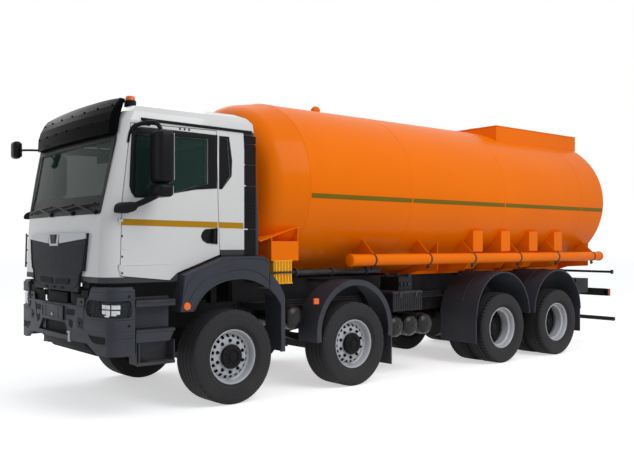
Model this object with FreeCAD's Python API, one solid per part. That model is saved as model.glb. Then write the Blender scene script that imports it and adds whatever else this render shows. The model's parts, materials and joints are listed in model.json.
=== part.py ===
import FreeCAD, Part
import math
import os

from FreeCAD import Vector

# Four-axle tank lorry, millimetres.  While it is modelled, Y = 0 is the first axle, the front faces -Y,
# the left-hand (driver's) side is +X and the floor is Z = 0.  Each saved piece is then shifted by
# -MIDDLE_Y, which puts the origin on the floor under the middle of the vehicle.

# ---- driving dimensions -------------------------------------------------------------------------
AXLE_Y = (0, 1795, 4775, 6175)      # two steered axles, two driven axles
TYRE_R = 515                        # loaded radius of every tyre
HALF_WIDTH = 1250                   # mudguards, bumper and lamps
GAP = 0.3                           # between pieces that seat on each other
PANEL_GAP = 8                       # round the doors

FRAME_X = (300, 380)                # flange edge and web of one side rail
FRAME_Z = (770, 1040)
FRAME_Y = (-1400, 7700)
RAIL_T = 10
SUBFRAME_TOP = 1300                 # black auxiliary frame on the side rails
SUBFRAME_START = 560

TANK_HALF_W = 1237
TANK_HALF_H = 1106
TANK_Z = 2442
TANK_Y = (1096, 7500)               # straight part of the barrel
FRONT_DEPTH, REAR_DEPTH = 600, 300  # the two dished ends
FRONT_SLOPE = 10                    # degrees that the front end narrows before its knuckle
FRONT_KNUCKLE_R, REAR_KNUCKLE_R = 250, 90
FRONT_CROWN_R = 7000
CRADLE_START = 3616                 # where the orange cradle begins
COLLAR_HALF_W = 700
COLLAR_Y = (5333, 7560)
COLLAR_TOP = 3600
COLLAR_T = 12
HATCH_Y = (5950, 6950)
HATCH_R = 300
HATCH_SEAT = 3636

TUBE_X, TUBE_Z, TUBE_R = 1185, 1541, 73
TUBE_Y = (1760, 7480)
CLAMP_Y = (2150, 3190, 4120, 5200, 6200, 7240)

CAB_HALF_W = 1120
CAB_FACE_X = CAB_HALF_W - 120       # where the front turns into the rounded corner
CAB_WALL = 60
CAB_SPAN_X = (-CAB_HALF_W - 180, CAB_HALF_W + 180)
CAB_BOTTOM = 1350
CAB_FLOOR_T = 60
CAB_ARCH_TOP = 1618                 # underside of the cab over the wheel
GUTTER_Z = 2990
TILT_Y, TILT_Z = -1430, 1150        # axis the cab tilts about
TILT_PIN_R = 20
TILT_POST_X = (FRAME_X[1] - 35, FRAME_X[1])
TILT_ARM_X = (FRAME_X[1] - 75, FRAME_X[1] - 40)
DOOR_HINGE_X, DOOR_HINGE_Y = CAB_HALF_W + 2, -1300
DOOR_HINGE_Z = (1500, 1960)
DOOR_PIN_R, DOOR_KNUCKLE_R, DOOR_KNUCKLE_H = 6, 12, 30

KINGPIN_X = 940
KINGPIN_R = 25
SPINDLE_R = 45
RUN_FIT = 0.05                      # radial clearance of turning fits
FRONT_WHEEL_X = 1058
TWIN_X = (748, 1093)                # inner and outer wheel of a pair
RIM_BEAD_R = 285.7
RIM_FLANGE_R = 298.5


# ---- helpers ------------------------------------------------------------------------------------
def box(x, y, z):
    """Block between (low, high) pairs on the three axes."""
    return Part.makeBox(x[1] - x[0], y[1] - y[0], z[1] - z[0], Vector(x[0], y[0], z[0]))


def rod(start, end, radius):
    """Round bar between two points."""
    along = Vector(*end) - Vector(*start)
    return Part.makeCylinder(radius, along.Length, Vector(*start), along)


def outline(place, steps):
    """Closed wire. A step is (u, v) for a straight run or (mid u, mid v, u, v) for an arc."""
    first = last = place(*steps[0])
    edges = []
    for step in steps[1:]:
        end = place(*step[-2:])
        if len(step) == 4:
            edges.append(Part.Arc(last, place(*step[:2]), end).toShape())
        else:
            edges.append(Part.makeLine(last, end))
        last = end
    if (last - first).Length > 1e-6:
        edges.append(Part.makeLine(last, first))
    return Part.Wire(edges)


def slab_x(steps, x):
    """Side outline in (y, z) carried across from x[0] to x[1]."""
    wire = outline(lambda y, z: Vector(x[0], y, z), steps)
    return Part.Face(wire).extrude(Vector(x[1] - x[0], 0, 0))


def slab_y(steps, y):
    """Front outline in (x, z) carried along from y[0] to y[1]."""
    wire = outline(lambda x, z: Vector(x, y[0], z), steps)
    return Part.Face(wire).extrude(Vector(0, y[1] - y[0], 0))


def slab_z(steps, z):
    """Plan outline in (x, y) carried up from z[0] to z[1]."""
    wire = outline(lambda x, y: Vector(x, y, z[0]), steps)
    return Part.Face(wire).extrude(Vector(0, 0, z[1] - z[0]))


def turned(steps, centre):
    """Outline in (x, radius) turned about the axis through centre that runs along X."""
    wire = outline(lambda x, r: Vector(x, 0, r), steps)
    solid = Part.Face(wire).revolve(Vector(0, 0, 0), Vector(1, 0, 0), 360)
    solid.translate(Vector(*centre))
    return solid


def arch(centre, radii, x, angles=(0, 180)):
    """Curved strip round an axis along X: radii (inner, outer), angles from +Y upward."""
    def at(radius, degrees):
        turn = math.radians(degrees)
        return (centre[0] + radius * math.cos(turn), centre[1] + radius * math.sin(turn))
    low, high = angles
    mid = (low + high) / 2
    steps = [at(radii[1], low), at(radii[1], mid) + at(radii[1], high), at(radii[0], high),
             at(radii[0], mid) + at(radii[0], low)]
    return slab_x(steps, x)


def joined(first, *others):
    return first.fuse(list(others)).removeSplitter()


def mirrored(shape):
    return shape.mirror(Vector(0, 0, 0), Vector(1, 0, 0))


def pair(*shapes):
    """The given left-hand solids and their right-hand twins."""
    return list(shapes) + [mirrored(shape) for shape in shapes]


pieces = {}


def save(name, *solids):
    pieces[name] = [part for solid in solids for part in solid.Solids]


# ---- tank ---------------------------------------------------------------------------------------
def dished_end(half_w, y_edge, apex_y, slope, knuckle_r, crown_r):
    """Dished end seen from the side: end of its taper, knuckle and crown arcs up to the middle."""
    outward = 1 if apex_y > y_edge else -1
    along = (-math.sin(slope), outward * math.cos(slope))
    inward = (-math.cos(slope), -outward * math.sin(slope))
    crown_y = apex_y - outward * crown_r
    start = (half_w + knuckle_r * inward[0], y_edge + knuckle_r * inward[1])
    away = start[0] * along[0] + (start[1] - crown_y) * along[1]
    spare = (crown_r - knuckle_r) ** 2 - start[0] ** 2 - (start[1] - crown_y) ** 2
    reach = math.sqrt(away ** 2 + spare) - away
    centre = (start[0] + reach * along[0], start[1] + reach * along[1])
    swing = math.asin(centre[0] / (crown_r - knuckle_r))

    def crown(angle):
        return (crown_r * math.sin(angle), crown_y + outward * crown_r * math.cos(angle))
    middle = (swing + math.pi / 2 - slope) / 2
    knuckle = (centre[0] + knuckle_r * math.sin(middle), centre[1] + outward * knuckle_r * math.cos(middle))
    taper_end = (half_w + reach * along[0], y_edge + reach * along[1])
    return taper_end, knuckle, crown(swing), crown(swing / 2), crown(0)


def deep_crown_r(half_w, depth, knuckle_r):
    """Crown radius of a dished end whose knuckle begins right at the barrel."""
    across = half_w - knuckle_r
    return (depth ** 2 - knuckle_r ** 2 + across ** 2) / (2 * (depth - knuckle_r))


def make_tank(clear=0):
    """Barrel and both ends turned as a round vessel, then pressed to the oval section."""
    half_w, rear_depth = TANK_HALF_W + clear, REAR_DEPTH + clear
    front = dished_end(half_w, TANK_Y[0], TANK_Y[0] - FRONT_DEPTH - clear, math.radians(FRONT_SLOPE),
                       FRONT_KNUCKLE_R, FRONT_CROWN_R)
    rear = dished_end(half_w, TANK_Y[1], TANK_Y[1] + rear_depth, 0, REAR_KNUCKLE_R,
                      deep_crown_r(half_w, rear_depth, REAR_KNUCKLE_R))
    steps = [front[4], front[3] + front[2], front[1] + front[0], (half_w, TANK_Y[0]),
             (half_w, TANK_Y[1]), rear[1] + rear[2], rear[3] + rear[4]]
    wire = outline(lambda r, y: Vector(r, y, 0), steps)
    vessel = Part.Face(wire).revolve(Vector(0, 0, 0), Vector(0, 1, 0), 360)
    press = FreeCAD.Matrix()
    press.A33 = (TANK_HALF_H + clear) / half_w
    vessel = vessel.transformGeometry(press)
    vessel.translate(Vector(0, 0, TANK_Z))
    return vessel


def barrel_space():
    """Straight part of the tank with a little clearance, to shape what stands on it."""
    halves = (TANK_HALF_W + GAP, TANK_HALF_H + GAP)
    face = Part.Face(Part.Wire([Part.Ellipse(Vector(0, 0, 0), max(halves), min(halves)).toShape()]))
    if TANK_HALF_H > TANK_HALF_W:
        face.rotate(Vector(0, 0, 0), Vector(0, 0, 1), 90)
    face.rotate(Vector(0, 0, 0), Vector(1, 0, 0), 90)
    face.translate(Vector(0, TANK_Y[0] - 1, TANK_Z))
    return face.extrude(Vector(0, TANK_Y[1] - TANK_Y[0] + 80, 0))


def tank_surface_z(x):
    """Height of the top of the barrel at x."""
    return TANK_Z + TANK_HALF_H * math.sqrt(1 - (x / TANK_HALF_W) ** 2)


tank = make_tank()
tank_space = make_tank(GAP)
barrel = barrel_space()
save("tank", tank)


def make_collar():
    """Overflow collar: two long plates and two end plates that stand on the barrel."""
    z = (tank_surface_z(COLLAR_HALF_W) - 60, COLLAR_TOP)
    inner = COLLAR_HALF_W - COLLAR_T
    sides = pair(box((inner, COLLAR_HALF_W), COLLAR_Y, z))
    ends = [box((-inner + GAP, inner - GAP), (y, y + COLLAR_T), z)
            for y in (COLLAR_Y[0], COLLAR_Y[1] - COLLAR_T)]
    return [plate.cut(barrel) for plate in sides + ends]


HATCH_PIN_R = 8
HATCH_PIN_OUT = 24                  # from the lid's rim to the hinge pin
HATCH_EAR_X = (46, 62)
LID_T = 28


def make_neck(y):
    """Manhole neck with a blind mouth and the two ears of the lid's hinge."""
    base = tank_surface_z(HATCH_R) - 20
    neck = rod((0, y, base), (0, y, HATCH_SEAT), HATCH_R - 30)
    mouth = rod((0, y, TANK_Z + TANK_HALF_H + 4), (0, y, HATCH_SEAT), HATCH_R - 45)
    pin_y, pin_z = y + HATCH_R + HATCH_PIN_OUT, HATCH_SEAT + LID_T / 2
    ears = pair(box(HATCH_EAR_X, (y + HATCH_R - 60, pin_y + 16), (HATCH_SEAT - 60, HATCH_SEAT - 6)),
                box(HATCH_EAR_X, (pin_y - 16, pin_y + 16), (HATCH_SEAT - 60, pin_z + 16)))
    bore = rod((-70, pin_y, pin_z), (70, pin_y, pin_z), HATCH_PIN_R + RUN_FIT)
    return joined(neck.cut(mouth), *ears).cut(bore).cut(barrel)


def make_lid(y):
    """Round manhole lid with its hinge tab and pin."""
    pin_y, pin_z = y + HATCH_R + HATCH_PIN_OUT, HATCH_SEAT + LID_T / 2
    low = HATCH_SEAT + GAP
    lid = rod((0, y, low), (0, y, low + LID_T), HATCH_R)
    tab = box((-40, 40), (y + HATCH_R - 40, pin_y), (low + 4, low + LID_T - 4))
    pin = rod((-HATCH_EAR_X[1], pin_y, pin_z), (HATCH_EAR_X[1], pin_y, pin_z), HATCH_PIN_R)
    slots = pair(box((HATCH_EAR_X[0] - 6, HATCH_EAR_X[1] + 6), (pin_y - 24, pin_y + 24),
                     (low - 1, low + LID_T + 1)))
    return joined(lid.cut(Part.makeCompound(slots)), tab, pin)


BREATHER_Y, BREATHER_R, BREATHER_TOP = 2215, 65, 3655
breather = rod((0, BREATHER_Y, tank_surface_z(0) - 20), (0, BREATHER_Y, BREATHER_TOP - 45), BREATHER_R)
breather_dome = Part.makeSphere(BREATHER_R, Vector(0, BREATHER_Y, BREATHER_TOP - BREATHER_R))
save("manhole_collar", *make_collar(), *[make_neck(y) for y in HATCH_Y],
     joined(breather, breather_dome).cut(barrel))
save("front_manhole_lid", make_lid(HATCH_Y[0]))
save("rear_manhole_lid", make_lid(HATCH_Y[1]))

# ---- orange steelwork under the tank ------------------------------------------------------------
CRADLE_BEAM_X = (300, 420)
CRADLE_T = 12
OUTRIGGER_LOW = 1352                # clear above the rear mudguards
FOOT_X = 1150
FOOT_X_INNER = 700
FOOT_TOP = 1935
FOOT_Y = ((4192, 4408), (4844, 5060), (5545, 5761), (6217, 6433))


def make_cradle():
    """Two long beams, web plates between and beside them, and four upright feet a side."""
    inner, outer = CRADLE_BEAM_X
    beams = pair(box(CRADLE_BEAM_X, (CRADLE_START, TANK_Y[1]), (SUBFRAME_TOP, TANK_Z - 900)))
    plates = []
    for y in [foot[0] + 100 for foot in FOOT_Y] + [CRADLE_START, TANK_Y[1] - CRADLE_T]:
        at_foot = CRADLE_START < y < TANK_Y[1] - CRADLE_T
        reach = FOOT_X_INNER - GAP if at_foot else 980
        side = [(outer + GAP, SUBFRAME_TOP), (600, OUTRIGGER_LOW), (reach, OUTRIGGER_LOW + 22),
                (reach, 1800), (outer + GAP, 1800)]
        plates.append(box((-inner + GAP, inner - GAP), (y, y + CRADLE_T), (SUBFRAME_TOP, 1800)))
        plates += pair(slab_y(side, (y, y + CRADLE_T)))
    foot_steps = [(FOOT_X_INNER, OUTRIGGER_LOW + 8), (980, OUTRIGGER_LOW + 30),
                  (FOOT_X - 90, TUBE_Z - TUBE_R), (TUBE_X - TUBE_R - 6, TUBE_Z - TUBE_R),
                  (TUBE_X - TUBE_R - 6, TUBE_Z + TUBE_R),
                  (FOOT_X, TUBE_Z + TUBE_R + 20), (FOOT_X, FOOT_TOP), (FOOT_X_INNER, FOOT_TOP)]
    feet = [foot for y in FOOT_Y for foot in pair(slab_y(foot_steps, y))]
    return [part.cut(barrel) for part in beams + plates + feet]


SADDLE_Y = (612, 1012)
SADDLE_X = (850, 1100)
SADDLE_Z = (1549, 1774)


def make_saddle():
    """Front support: two web plates, a box at each end and the sloping shelf round the dished end."""
    low, edge = SADDLE_Z[0], SADDLE_X[0] - GAP
    under = [(400, 1770), (450, 1771), (936, 1926), (1200, 1952), (1200, 2100), (400, 2100)]
    above_shelf = slab_x([(y, z - 6 - GAP) for y, z in under], (-1200, 1200))
    web = [(-edge, low), (-FRAME_X[1], SUBFRAME_TOP), (FRAME_X[1], SUBFRAME_TOP), (edge, low), (edge, 1960),
           (-edge, 1960)]
    parts = [slab_y(web, (y, y + CRADLE_T)) for y in (SADDLE_Y[0], SADDLE_Y[1] - CRADLE_T)]
    parts += pair(box(SADDLE_X, SADDLE_Y, SADDLE_Z))
    rib_low = SADDLE_Z[1] + GAP
    for y in (SADDLE_Y[0], SADDLE_Y[1] - CRADLE_T):
        parts += pair(box(SADDLE_X, (y, y + CRADLE_T), (rib_low, 1960)))
    parts = [part.cut(above_shelf) for part in parts]
    shelf = slab_x([(450, 1777), (936, 1932), (1158, 1957), (1158, 1945), (936, 1920), (450, 1765)],
                   (-SADDLE_X[1], SADDLE_X[1]))
    return [part.cut(tank_space) for part in parts + [shelf]]


CHOCK_Y, CHOCK_X, CHOCK_LOW = (650, 920), (900, 1090), 1280
save("wheel_chocks", *pair(box(CHOCK_X, CHOCK_Y, (CHOCK_LOW, SADDLE_Z[0]))))

# ---- hose tubes and their brackets --------------------------------------------------------------
tube = rod((TUBE_X, TUBE_Y[0], TUBE_Z), (TUBE_X, TUBE_Y[1], TUBE_Z), TUBE_R)
tube_space = rod((TUBE_X, TUBE_Y[0], TUBE_Z), (TUBE_X, TUBE_Y[1], TUBE_Z), TUBE_R + GAP)
save("hose_tubes", *pair(tube))


def make_bracket(y):
    """Gusset from the barrel to the outside of a hose tube."""
    steps = [(TUBE_X + 10, TUBE_Z + TUBE_R + 8), (1000, 1800), (840, 1640), (1080, TUBE_Z - 60),
             (TUBE_X - TUBE_R + 40, TUBE_Z - 60)]
    return slab_y(steps, (y, y + CRADLE_T)).cut(barrel).cut(tube_space)


save("tank_cradle", *make_cradle(), *make_saddle(), *pair(*[make_bracket(y) for y in CLAMP_Y]))

# ---- chassis frame ------------------------------------------------------------------------------
CROSSMEMBER_Y = (-1300, 620, 1250, 2350, 3500, 4250, 5475, 6900)
BOLT_X, BOLT_Z, BOLT_R = 160, 100, 10.5     # rear coupling's bolt pattern
BOLT_CENTRE_Z = 905
TOW_X, TOW_Z, TOW_R = 425, (728, 828), 20
CAB_REST_Y = (250, 330)
CAB_REST_GAP = 6


def make_rail():
    """C-section side rail, open towards the middle."""
    inner, web = FRAME_X
    low, high = FRAME_Z
    steps = [(web, low), (web, high), (inner, high), (inner, high - RAIL_T), (web - RAIL_T, high - RAIL_T),
             (web - RAIL_T, low + RAIL_T), (inner, low + RAIL_T), (inner, low)]
    return slab_y(steps, FRAME_Y)


def make_tilt_post():
    """Post on the rail that carries the cab's front pivot."""
    post = box(TILT_POST_X, (TILT_Y + 30, TILT_Y + 110), (FRAME_Z[1] + GAP, TILT_Z + 35))
    head = box(TILT_POST_X, (TILT_Y - 35, TILT_Y + 110), (TILT_Z - 35, TILT_Z + 35))
    bore = rod((TILT_POST_X[0] - 45, TILT_Y, TILT_Z), (TILT_POST_X[1] + 20, TILT_Y, TILT_Z),
               TILT_PIN_R + RUN_FIT)
    return joined(post, head).cut(bore)


def make_frame():
    web = FRAME_X[1] - RAIL_T
    rails = pair(make_rail())
    cross = [box((-web + GAP, web - GAP), (y, y + 80), (860, 1000)) for y in CROSSMEMBER_Y]
    end_plate = box((-web + GAP, web - GAP), (FRAME_Y[1] - 20, FRAME_Y[1]),
                    (FRAME_Z[0] + RAIL_T + GAP, FRAME_Z[1] - RAIL_T - GAP))
    for x in (-BOLT_X / 2, BOLT_X / 2):
        for z in (-BOLT_Z / 2, BOLT_Z / 2):
            end_plate = end_plate.cut(rod((x, FRAME_Y[1] - 30, BOLT_CENTRE_Z + z),
                                          (x, FRAME_Y[1] + 10, BOLT_CENTRE_Z + z), BOLT_R))
    beams = pair(box(FRAME_X, (SUBFRAME_START, FRAME_Y[1]), (FRAME_Z[1] + GAP, SUBFRAME_TOP - GAP)))
    jaw = box((FRAME_X[1] + GAP, TOW_X + 45), (-1478, -1380), TOW_Z)
    jaw = jaw.cut(rod((TOW_X, -1432, TOW_Z[0] - 10), (TOW_X, -1432, TOW_Z[1] + 10), TOW_R))
    rest_low = FRAME_Z[1] + GAP
    rest_top = CAB_ARCH_TOP - CAB_REST_GAP
    rest_steps = [(-FRAME_X[1], rest_low), (-FRAME_X[1], rest_top), (FRAME_X[1], rest_top),
                  (FRAME_X[1], rest_low), (FRAME_X[0], rest_low), (FRAME_X[0], rest_top - 80),
                  (-FRAME_X[0], rest_top - 80), (-FRAME_X[0], rest_low)]
    rest = slab_y(rest_steps, CAB_REST_Y)
    posts = pair(make_tilt_post())
    return rails + cross + [end_plate] + beams + pair(jaw) + [rest] + posts


save("ladder_frame", *make_frame())

# ---- engine -------------------------------------------------------------------------------------
ENGINE_X, ENGINE_Y, ENGINE_Z = 285, (-1080, 340), (560, 1328)
engine = box((-ENGINE_X, ENGINE_X), ENGINE_Y, ENGINE_Z)
engine_feet = [box((-375, 375), (y, y + 90), (FRAME_Z[1] + GAP, FRAME_Z[1] + 40)) for y in (-900, 100)]
save("engine_block", joined(engine, *engine_feet))

# ---- axles and springs --------------------------------------------------------------------------
EYE_R, EYE_Z = 48, (TYRE_R - 60, TYRE_R + 60)
BEAM_Z = (TYRE_R - 140, TYRE_R - 35)
SHAFT_Z, SHAFT_R = 640, 55
DRIVE_TUBE_R = 75
DRIVE_SPINDLE_R = 50
DRIVE_TUBE_X = 690
DRIVE_SPINDLE_X = 990
SPRING_X = (FRAME_X[1] + GAP, 472)


def make_steer_beam(y):
    """Forged beam, dropped in the middle, with an eye for the kingpin at each end."""
    half = [(0, BEAM_Z[0]), (640, BEAM_Z[0]), (800, EYE_Z[0]), (KINGPIN_X, EYE_Z[0]), (KINGPIN_X, EYE_Z[1]),
            (760, EYE_Z[1]), (620, BEAM_Z[1]), (0, BEAM_Z[1])]
    arm = slab_y(half, (-48, 48))
    eye = rod((KINGPIN_X, 0, EYE_Z[0]), (KINGPIN_X, 0, EYE_Z[1]), EYE_R)
    bore = rod((KINGPIN_X, 0, EYE_Z[0] - 5), (KINGPIN_X, 0, EYE_Z[1] + 5), KINGPIN_R + RUN_FIT)
    arm = arm.fuse(eye).cut(bore)
    beam = arm.fuse(mirrored(arm)).removeSplitter()
    beam.translate(Vector(0, y, 0))
    return beam


def make_drive_axle(y, out_length):
    """Housing tube with the gear casing, its input nose and the two wheel spindles."""
    tube_part = rod((-DRIVE_TUBE_X, y, TYRE_R), (DRIVE_TUBE_X, y, TYRE_R), DRIVE_TUBE_R)
    spindles = rod((-DRIVE_SPINDLE_X, y, TYRE_R), (DRIVE_SPINDLE_X, y, TYRE_R), DRIVE_SPINDLE_R)
    casing = rod((0, y - 150, TYRE_R), (0, y + 150, TYRE_R), 225)
    nose = rod((0, y - 290, SHAFT_Z), (0, y + out_length, SHAFT_Z), 80)
    return joined(tube_part, spindles, casing, nose)


def make_shaft(y0, y1):
    return rod((0, y0 + GAP, SHAFT_Z), (0, y1 - GAP, SHAFT_Z), SHAFT_R)


def make_front_spring(y):
    """Leaf pack on the beam with a hanger at each end."""
    leaves = slab_x([(-710, 690), (0, BEAM_Z[1], 710, 690), (710, 735), (0, BEAM_Z[1] + 100, -710, 735)],
                    SPRING_X)
    hangers = [box(SPRING_X, (low, low + 80), (690, 900)) for low in (-785, 705)]
    pack = joined(leaves, *hangers)
    pack.translate(Vector(0, y, 0))
    return pack


def make_bogie_spring():
    """Rear pack, held on a trunnion block between the driven axles and bearing on both."""
    y0, y1 = AXLE_Y[2], AXLE_Y[3]
    mid = (y0 + y1) / 2
    seat = TYRE_R + DRIVE_TUBE_R
    leaves = slab_x([(y0 - 60, seat), (y0 + 60, seat), (mid, seat + 90, y1 - 60, seat), (y1 + 60, seat),
                     (y1 + 60, seat + 60), (mid, seat + 190, y0 - 60, seat + 60)], SPRING_X)
    trunnion = box(SPRING_X, (mid - 110, mid + 110), (seat + 60, 860))
    return joined(leaves, trunnion)


drive_line = [make_drive_axle(AXLE_Y[2], 250), make_drive_axle(AXLE_Y[3], 150),
              make_shaft(ENGINE_Y[1], AXLE_Y[2] - 290), make_shaft(AXLE_Y[2] + 250, AXLE_Y[3] - 290)]
save("axles", make_steer_beam(AXLE_Y[0]), make_steer_beam(AXLE_Y[1]), *drive_line)
save("leaf_springs", *pair(make_front_spring(AXLE_Y[0]), make_front_spring(AXLE_Y[1]), make_bogie_spring()))


# ---- knuckles and wheels ------------------------------------------------------------------------
LUG_T = 40
THRUST = 1                          # gap at the knuckle's thrust faces
KNUCKLE_PLATE_X = (994, 1020)
FRONT_SPINDLE_X = 1150


def make_knuckle(y):
    """Fork round the beam's eye with the kingpin, and the spindle for the wheel."""
    low, high = EYE_Z[0] - THRUST, EYE_Z[1] + THRUST
    lugs = [rod((KINGPIN_X, 0, z), (KINGPIN_X, 0, z + LUG_T), EYE_R) for z in (low - LUG_T, high)]
    webs = [box((KINGPIN_X, KNUCKLE_PLATE_X[1]), (-EYE_R, EYE_R), (z, z + LUG_T))
            for z in (low - LUG_T, high)]
    plate = box(KNUCKLE_PLATE_X, (-60, 60), (low - LUG_T, high + LUG_T))
    pin = rod((KINGPIN_X, 0, low - LUG_T), (KINGPIN_X, 0, high + LUG_T), KINGPIN_R)
    spindle = rod((KNUCKLE_PLATE_X[0], 0, TYRE_R), (FRONT_SPINDLE_X, 0, TYRE_R), SPINDLE_R)
    knuckle = joined(plate, *lugs, *webs, pin, spindle)
    knuckle.translate(Vector(0, y, 0))
    return knuckle


def rim_barrel(half_w, well):
    """Barrel of a rim in (x, radius): flanges, bead seats and the well between them."""
    lip, t = 12, 9
    return [(-half_w - lip, RIM_FLANGE_R), (-half_w, RIM_FLANGE_R), (-half_w, RIM_BEAD_R),
            (-well, RIM_BEAD_R - 4), (-well + 18, RIM_BEAD_R - 32), (well - 18, RIM_BEAD_R - 32),
            (well, RIM_BEAD_R - 4), (half_w, RIM_BEAD_R), (half_w, RIM_FLANGE_R),
            (half_w + lip, RIM_FLANGE_R), (half_w + lip, RIM_FLANGE_R - t), (half_w + 3, RIM_BEAD_R - t),
            (well + 4, RIM_BEAD_R - t - 6), (well - 14, RIM_BEAD_R - t - 32),
            (-well + 14, RIM_BEAD_R - t - 32), (-well - 4, RIM_BEAD_R - t - 6),
            (-half_w - 3, RIM_BEAD_R - t), (-half_w - lip, RIM_FLANGE_R - t)]


def make_front_rim(centre):
    """Single wheel: barrel, dished disc near the outside, hub with a blind bore."""
    barrel = turned(rim_barrel(149, 70), centre)
    disc = turned([(84, 90), (84, 200), (52, 248), (56, 262), (64, 262), (98, 204), (98, 90)], centre)
    bore_r = SPINDLE_R + RUN_FIT
    hub = turned([(-30, bore_r), (-30, 100), (20, 130), (84, 130), (98, 118), (150, 112), (162, 96),
                  (162, 0), (100, 0), (100, bore_r)], centre)
    return joined(barrel, disc, hub)


def make_twin_rim(y):
    """Pair of deep rims bolted back to back on one hub."""
    meet = (TWIN_X[0] + TWIN_X[1]) / 2
    barrels = [turned(rim_barrel(114.5, 62), (x, y, TYRE_R)) for x in TWIN_X]
    outer_disc = turned([(0, 120), (0, 215), (60, 244), (60, 280), (72, 280), (74, 238), (14, 206),
                         (14, 120)], (meet, y, TYRE_R))
    inner_disc = turned([(0, 120), (0, 215), (-60, 244), (-60, 280), (-72, 280), (-74, 238),
                         (-14, 206), (-14, 120)], (meet, y, TYRE_R))
    bore_r = DRIVE_SPINDLE_R + RUN_FIT
    reach = DRIVE_TUBE_X + 10 - meet
    hub = turned([(reach, bore_r), (reach, 190), (-80, 190), (-14, 150), (14, 150), (40, 128),
                  (150, 116), (165, 98), (165, 0), (80, 0), (80, bore_r)], (meet, y, TYRE_R))
    return joined(barrels[0], barrels[1], outer_disc, inner_disc, hub)


def make_tyre(centre, width, bead_w, tread_w):
    """Solid of revolution with bulged sidewalls; it seats on the rim's bead seats."""
    half, bead, tread = width / 2, bead_w / 2, tread_w / 2
    inner = RIM_BEAD_R + GAP
    shoulder = TYRE_R - 22
    mid_r = (inner + shoulder) / 2
    over = RIM_FLANGE_R + 1
    steps = [(-bead, inner), (-bead, over), (-half, mid_r, -half + 12, shoulder), (-tread, TYRE_R),
             (tread, TYRE_R), (half - 12, shoulder), (half, mid_r, bead, over), (bead, inner)]
    return turned(steps, centre)


SIDES = (("left", 1), ("right", -1))


def to_side(shape, sign):
    return shape if sign > 0 else mirrored(shape)


for number, y in enumerate(AXLE_Y, start=1):
    if number <= 2:
        centre = (FRONT_WHEEL_X, y, TYRE_R)
        rim = make_front_rim(centre)
        tyres = [make_tyre(centre, 385, 2 * 148.5, 340)]
    else:
        rim = make_twin_rim(y)
        tyres = [make_tyre((x, y, TYRE_R), 315, 2 * 114, 262) for x in TWIN_X]
    for side, sign in SIDES:
        if number <= 2:
            save(f"knuckle_{number}_{side}", to_side(make_knuckle(y), sign))
        save(f"rim_{number}_{side}", to_side(rim, sign))
        save(f"tyre_{number}_{side}", *[to_side(tyre, sign) for tyre in tyres])

# ---- mudguards ----------------------------------------------------------------------------------
TAIL_X = (900, HALF_WIDTH)
TAIL_Y = 640                        # front face of the flap behind the first wheel
STEER_ARCH_R = (618, 634)
STEER_ARCH_Z = 672
STEER_ARCH_Y = AXLE_Y[1] + 11
REAR_ARCH_R = (624, 642)
REAR_ARCH_Z = 698
REAR_ARCH_X = (600, HALF_WIDTH)


def make_tail():
    """Lower rear part of the first mudguard with its flap and bracket."""
    steps = [(480, 1236), (480, 1416), (640, 1245, 692, 1140), (697, 519), (TAIL_Y, 519), (TAIL_Y, 1046),
             (580, 1142, 480, 1236)]
    guard = slab_x(steps, TAIL_X)
    hollow = slab_x([(470, 1200), (470, 1396), (622, 1238, 672, 1136), (676, 505), (630, 505), (630, 1040)],
                    (TAIL_X[0] - 10, HALF_WIDTH - 25))
    bracket = box((FRAME_X[1] + GAP, TAIL_X[0] + 60), (677, 695), (960, 1035))
    return joined(guard.cut(hollow), bracket)


def make_steer_guard():
    """Second axle: thin arch with a wider outer lip, and the flap behind it."""
    centre = (STEER_ARCH_Y, STEER_ARCH_Z)
    down = -9.2
    sheet = arch(centre, STEER_ARCH_R, (900, HALF_WIDTH - 25), (down, 180 - down))
    lip = arch(centre, (565, STEER_ARCH_R[1]), (HALF_WIDTH - 25, HALF_WIDTH), (down, 180 - down))
    bracket = box((FRAME_X[1] + GAP, 920), (STEER_ARCH_Y - 30, STEER_ARCH_Y + 30),
                  (STEER_ARCH_Z + STEER_ARCH_R[0] - 40, STEER_ARCH_Z + STEER_ARCH_R[0] + 4))
    flap = box((900, HALF_WIDTH - 10), (2422, 2440), (208, 640))
    return joined(sheet, lip, bracket, flap)


def make_rear_guard(y):
    """One driven axle: thin arch on a bracket from the auxiliary frame."""
    top = REAR_ARCH_Z + REAR_ARCH_R[0]
    strip = arch((y, REAR_ARCH_Z), REAR_ARCH_R, REAR_ARCH_X)
    low, high = SUBFRAME_TOP - 60, SUBFRAME_TOP - 8
    web_x = FRAME_X[1] + 60
    bracket = slab_y([(FRAME_X[1] + GAP, low), (1100, top - 30), (1100, top + 6), (web_x, top + 6),
                      (web_x, high), (FRAME_X[1] + GAP, high)], (y - 30, y + 30))
    return joined(strip, bracket)


def make_rear_flap(y):
    return box((REAR_ARCH_X[0] + 10, HALF_WIDTH - 10), (y, y + REAR_ARCH_R[1] - REAR_ARCH_R[0]),
               (330, REAR_ARCH_Z - GAP))


save("mudguards", *pair(make_tail(), make_steer_guard(),
                        make_rear_guard(AXLE_Y[2]), make_rear_guard(AXLE_Y[3]),
                        make_rear_flap(AXLE_Y[2] - REAR_ARCH_R[1]),
                        make_rear_flap(AXLE_Y[3] + REAR_ARCH_R[0])))

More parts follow.
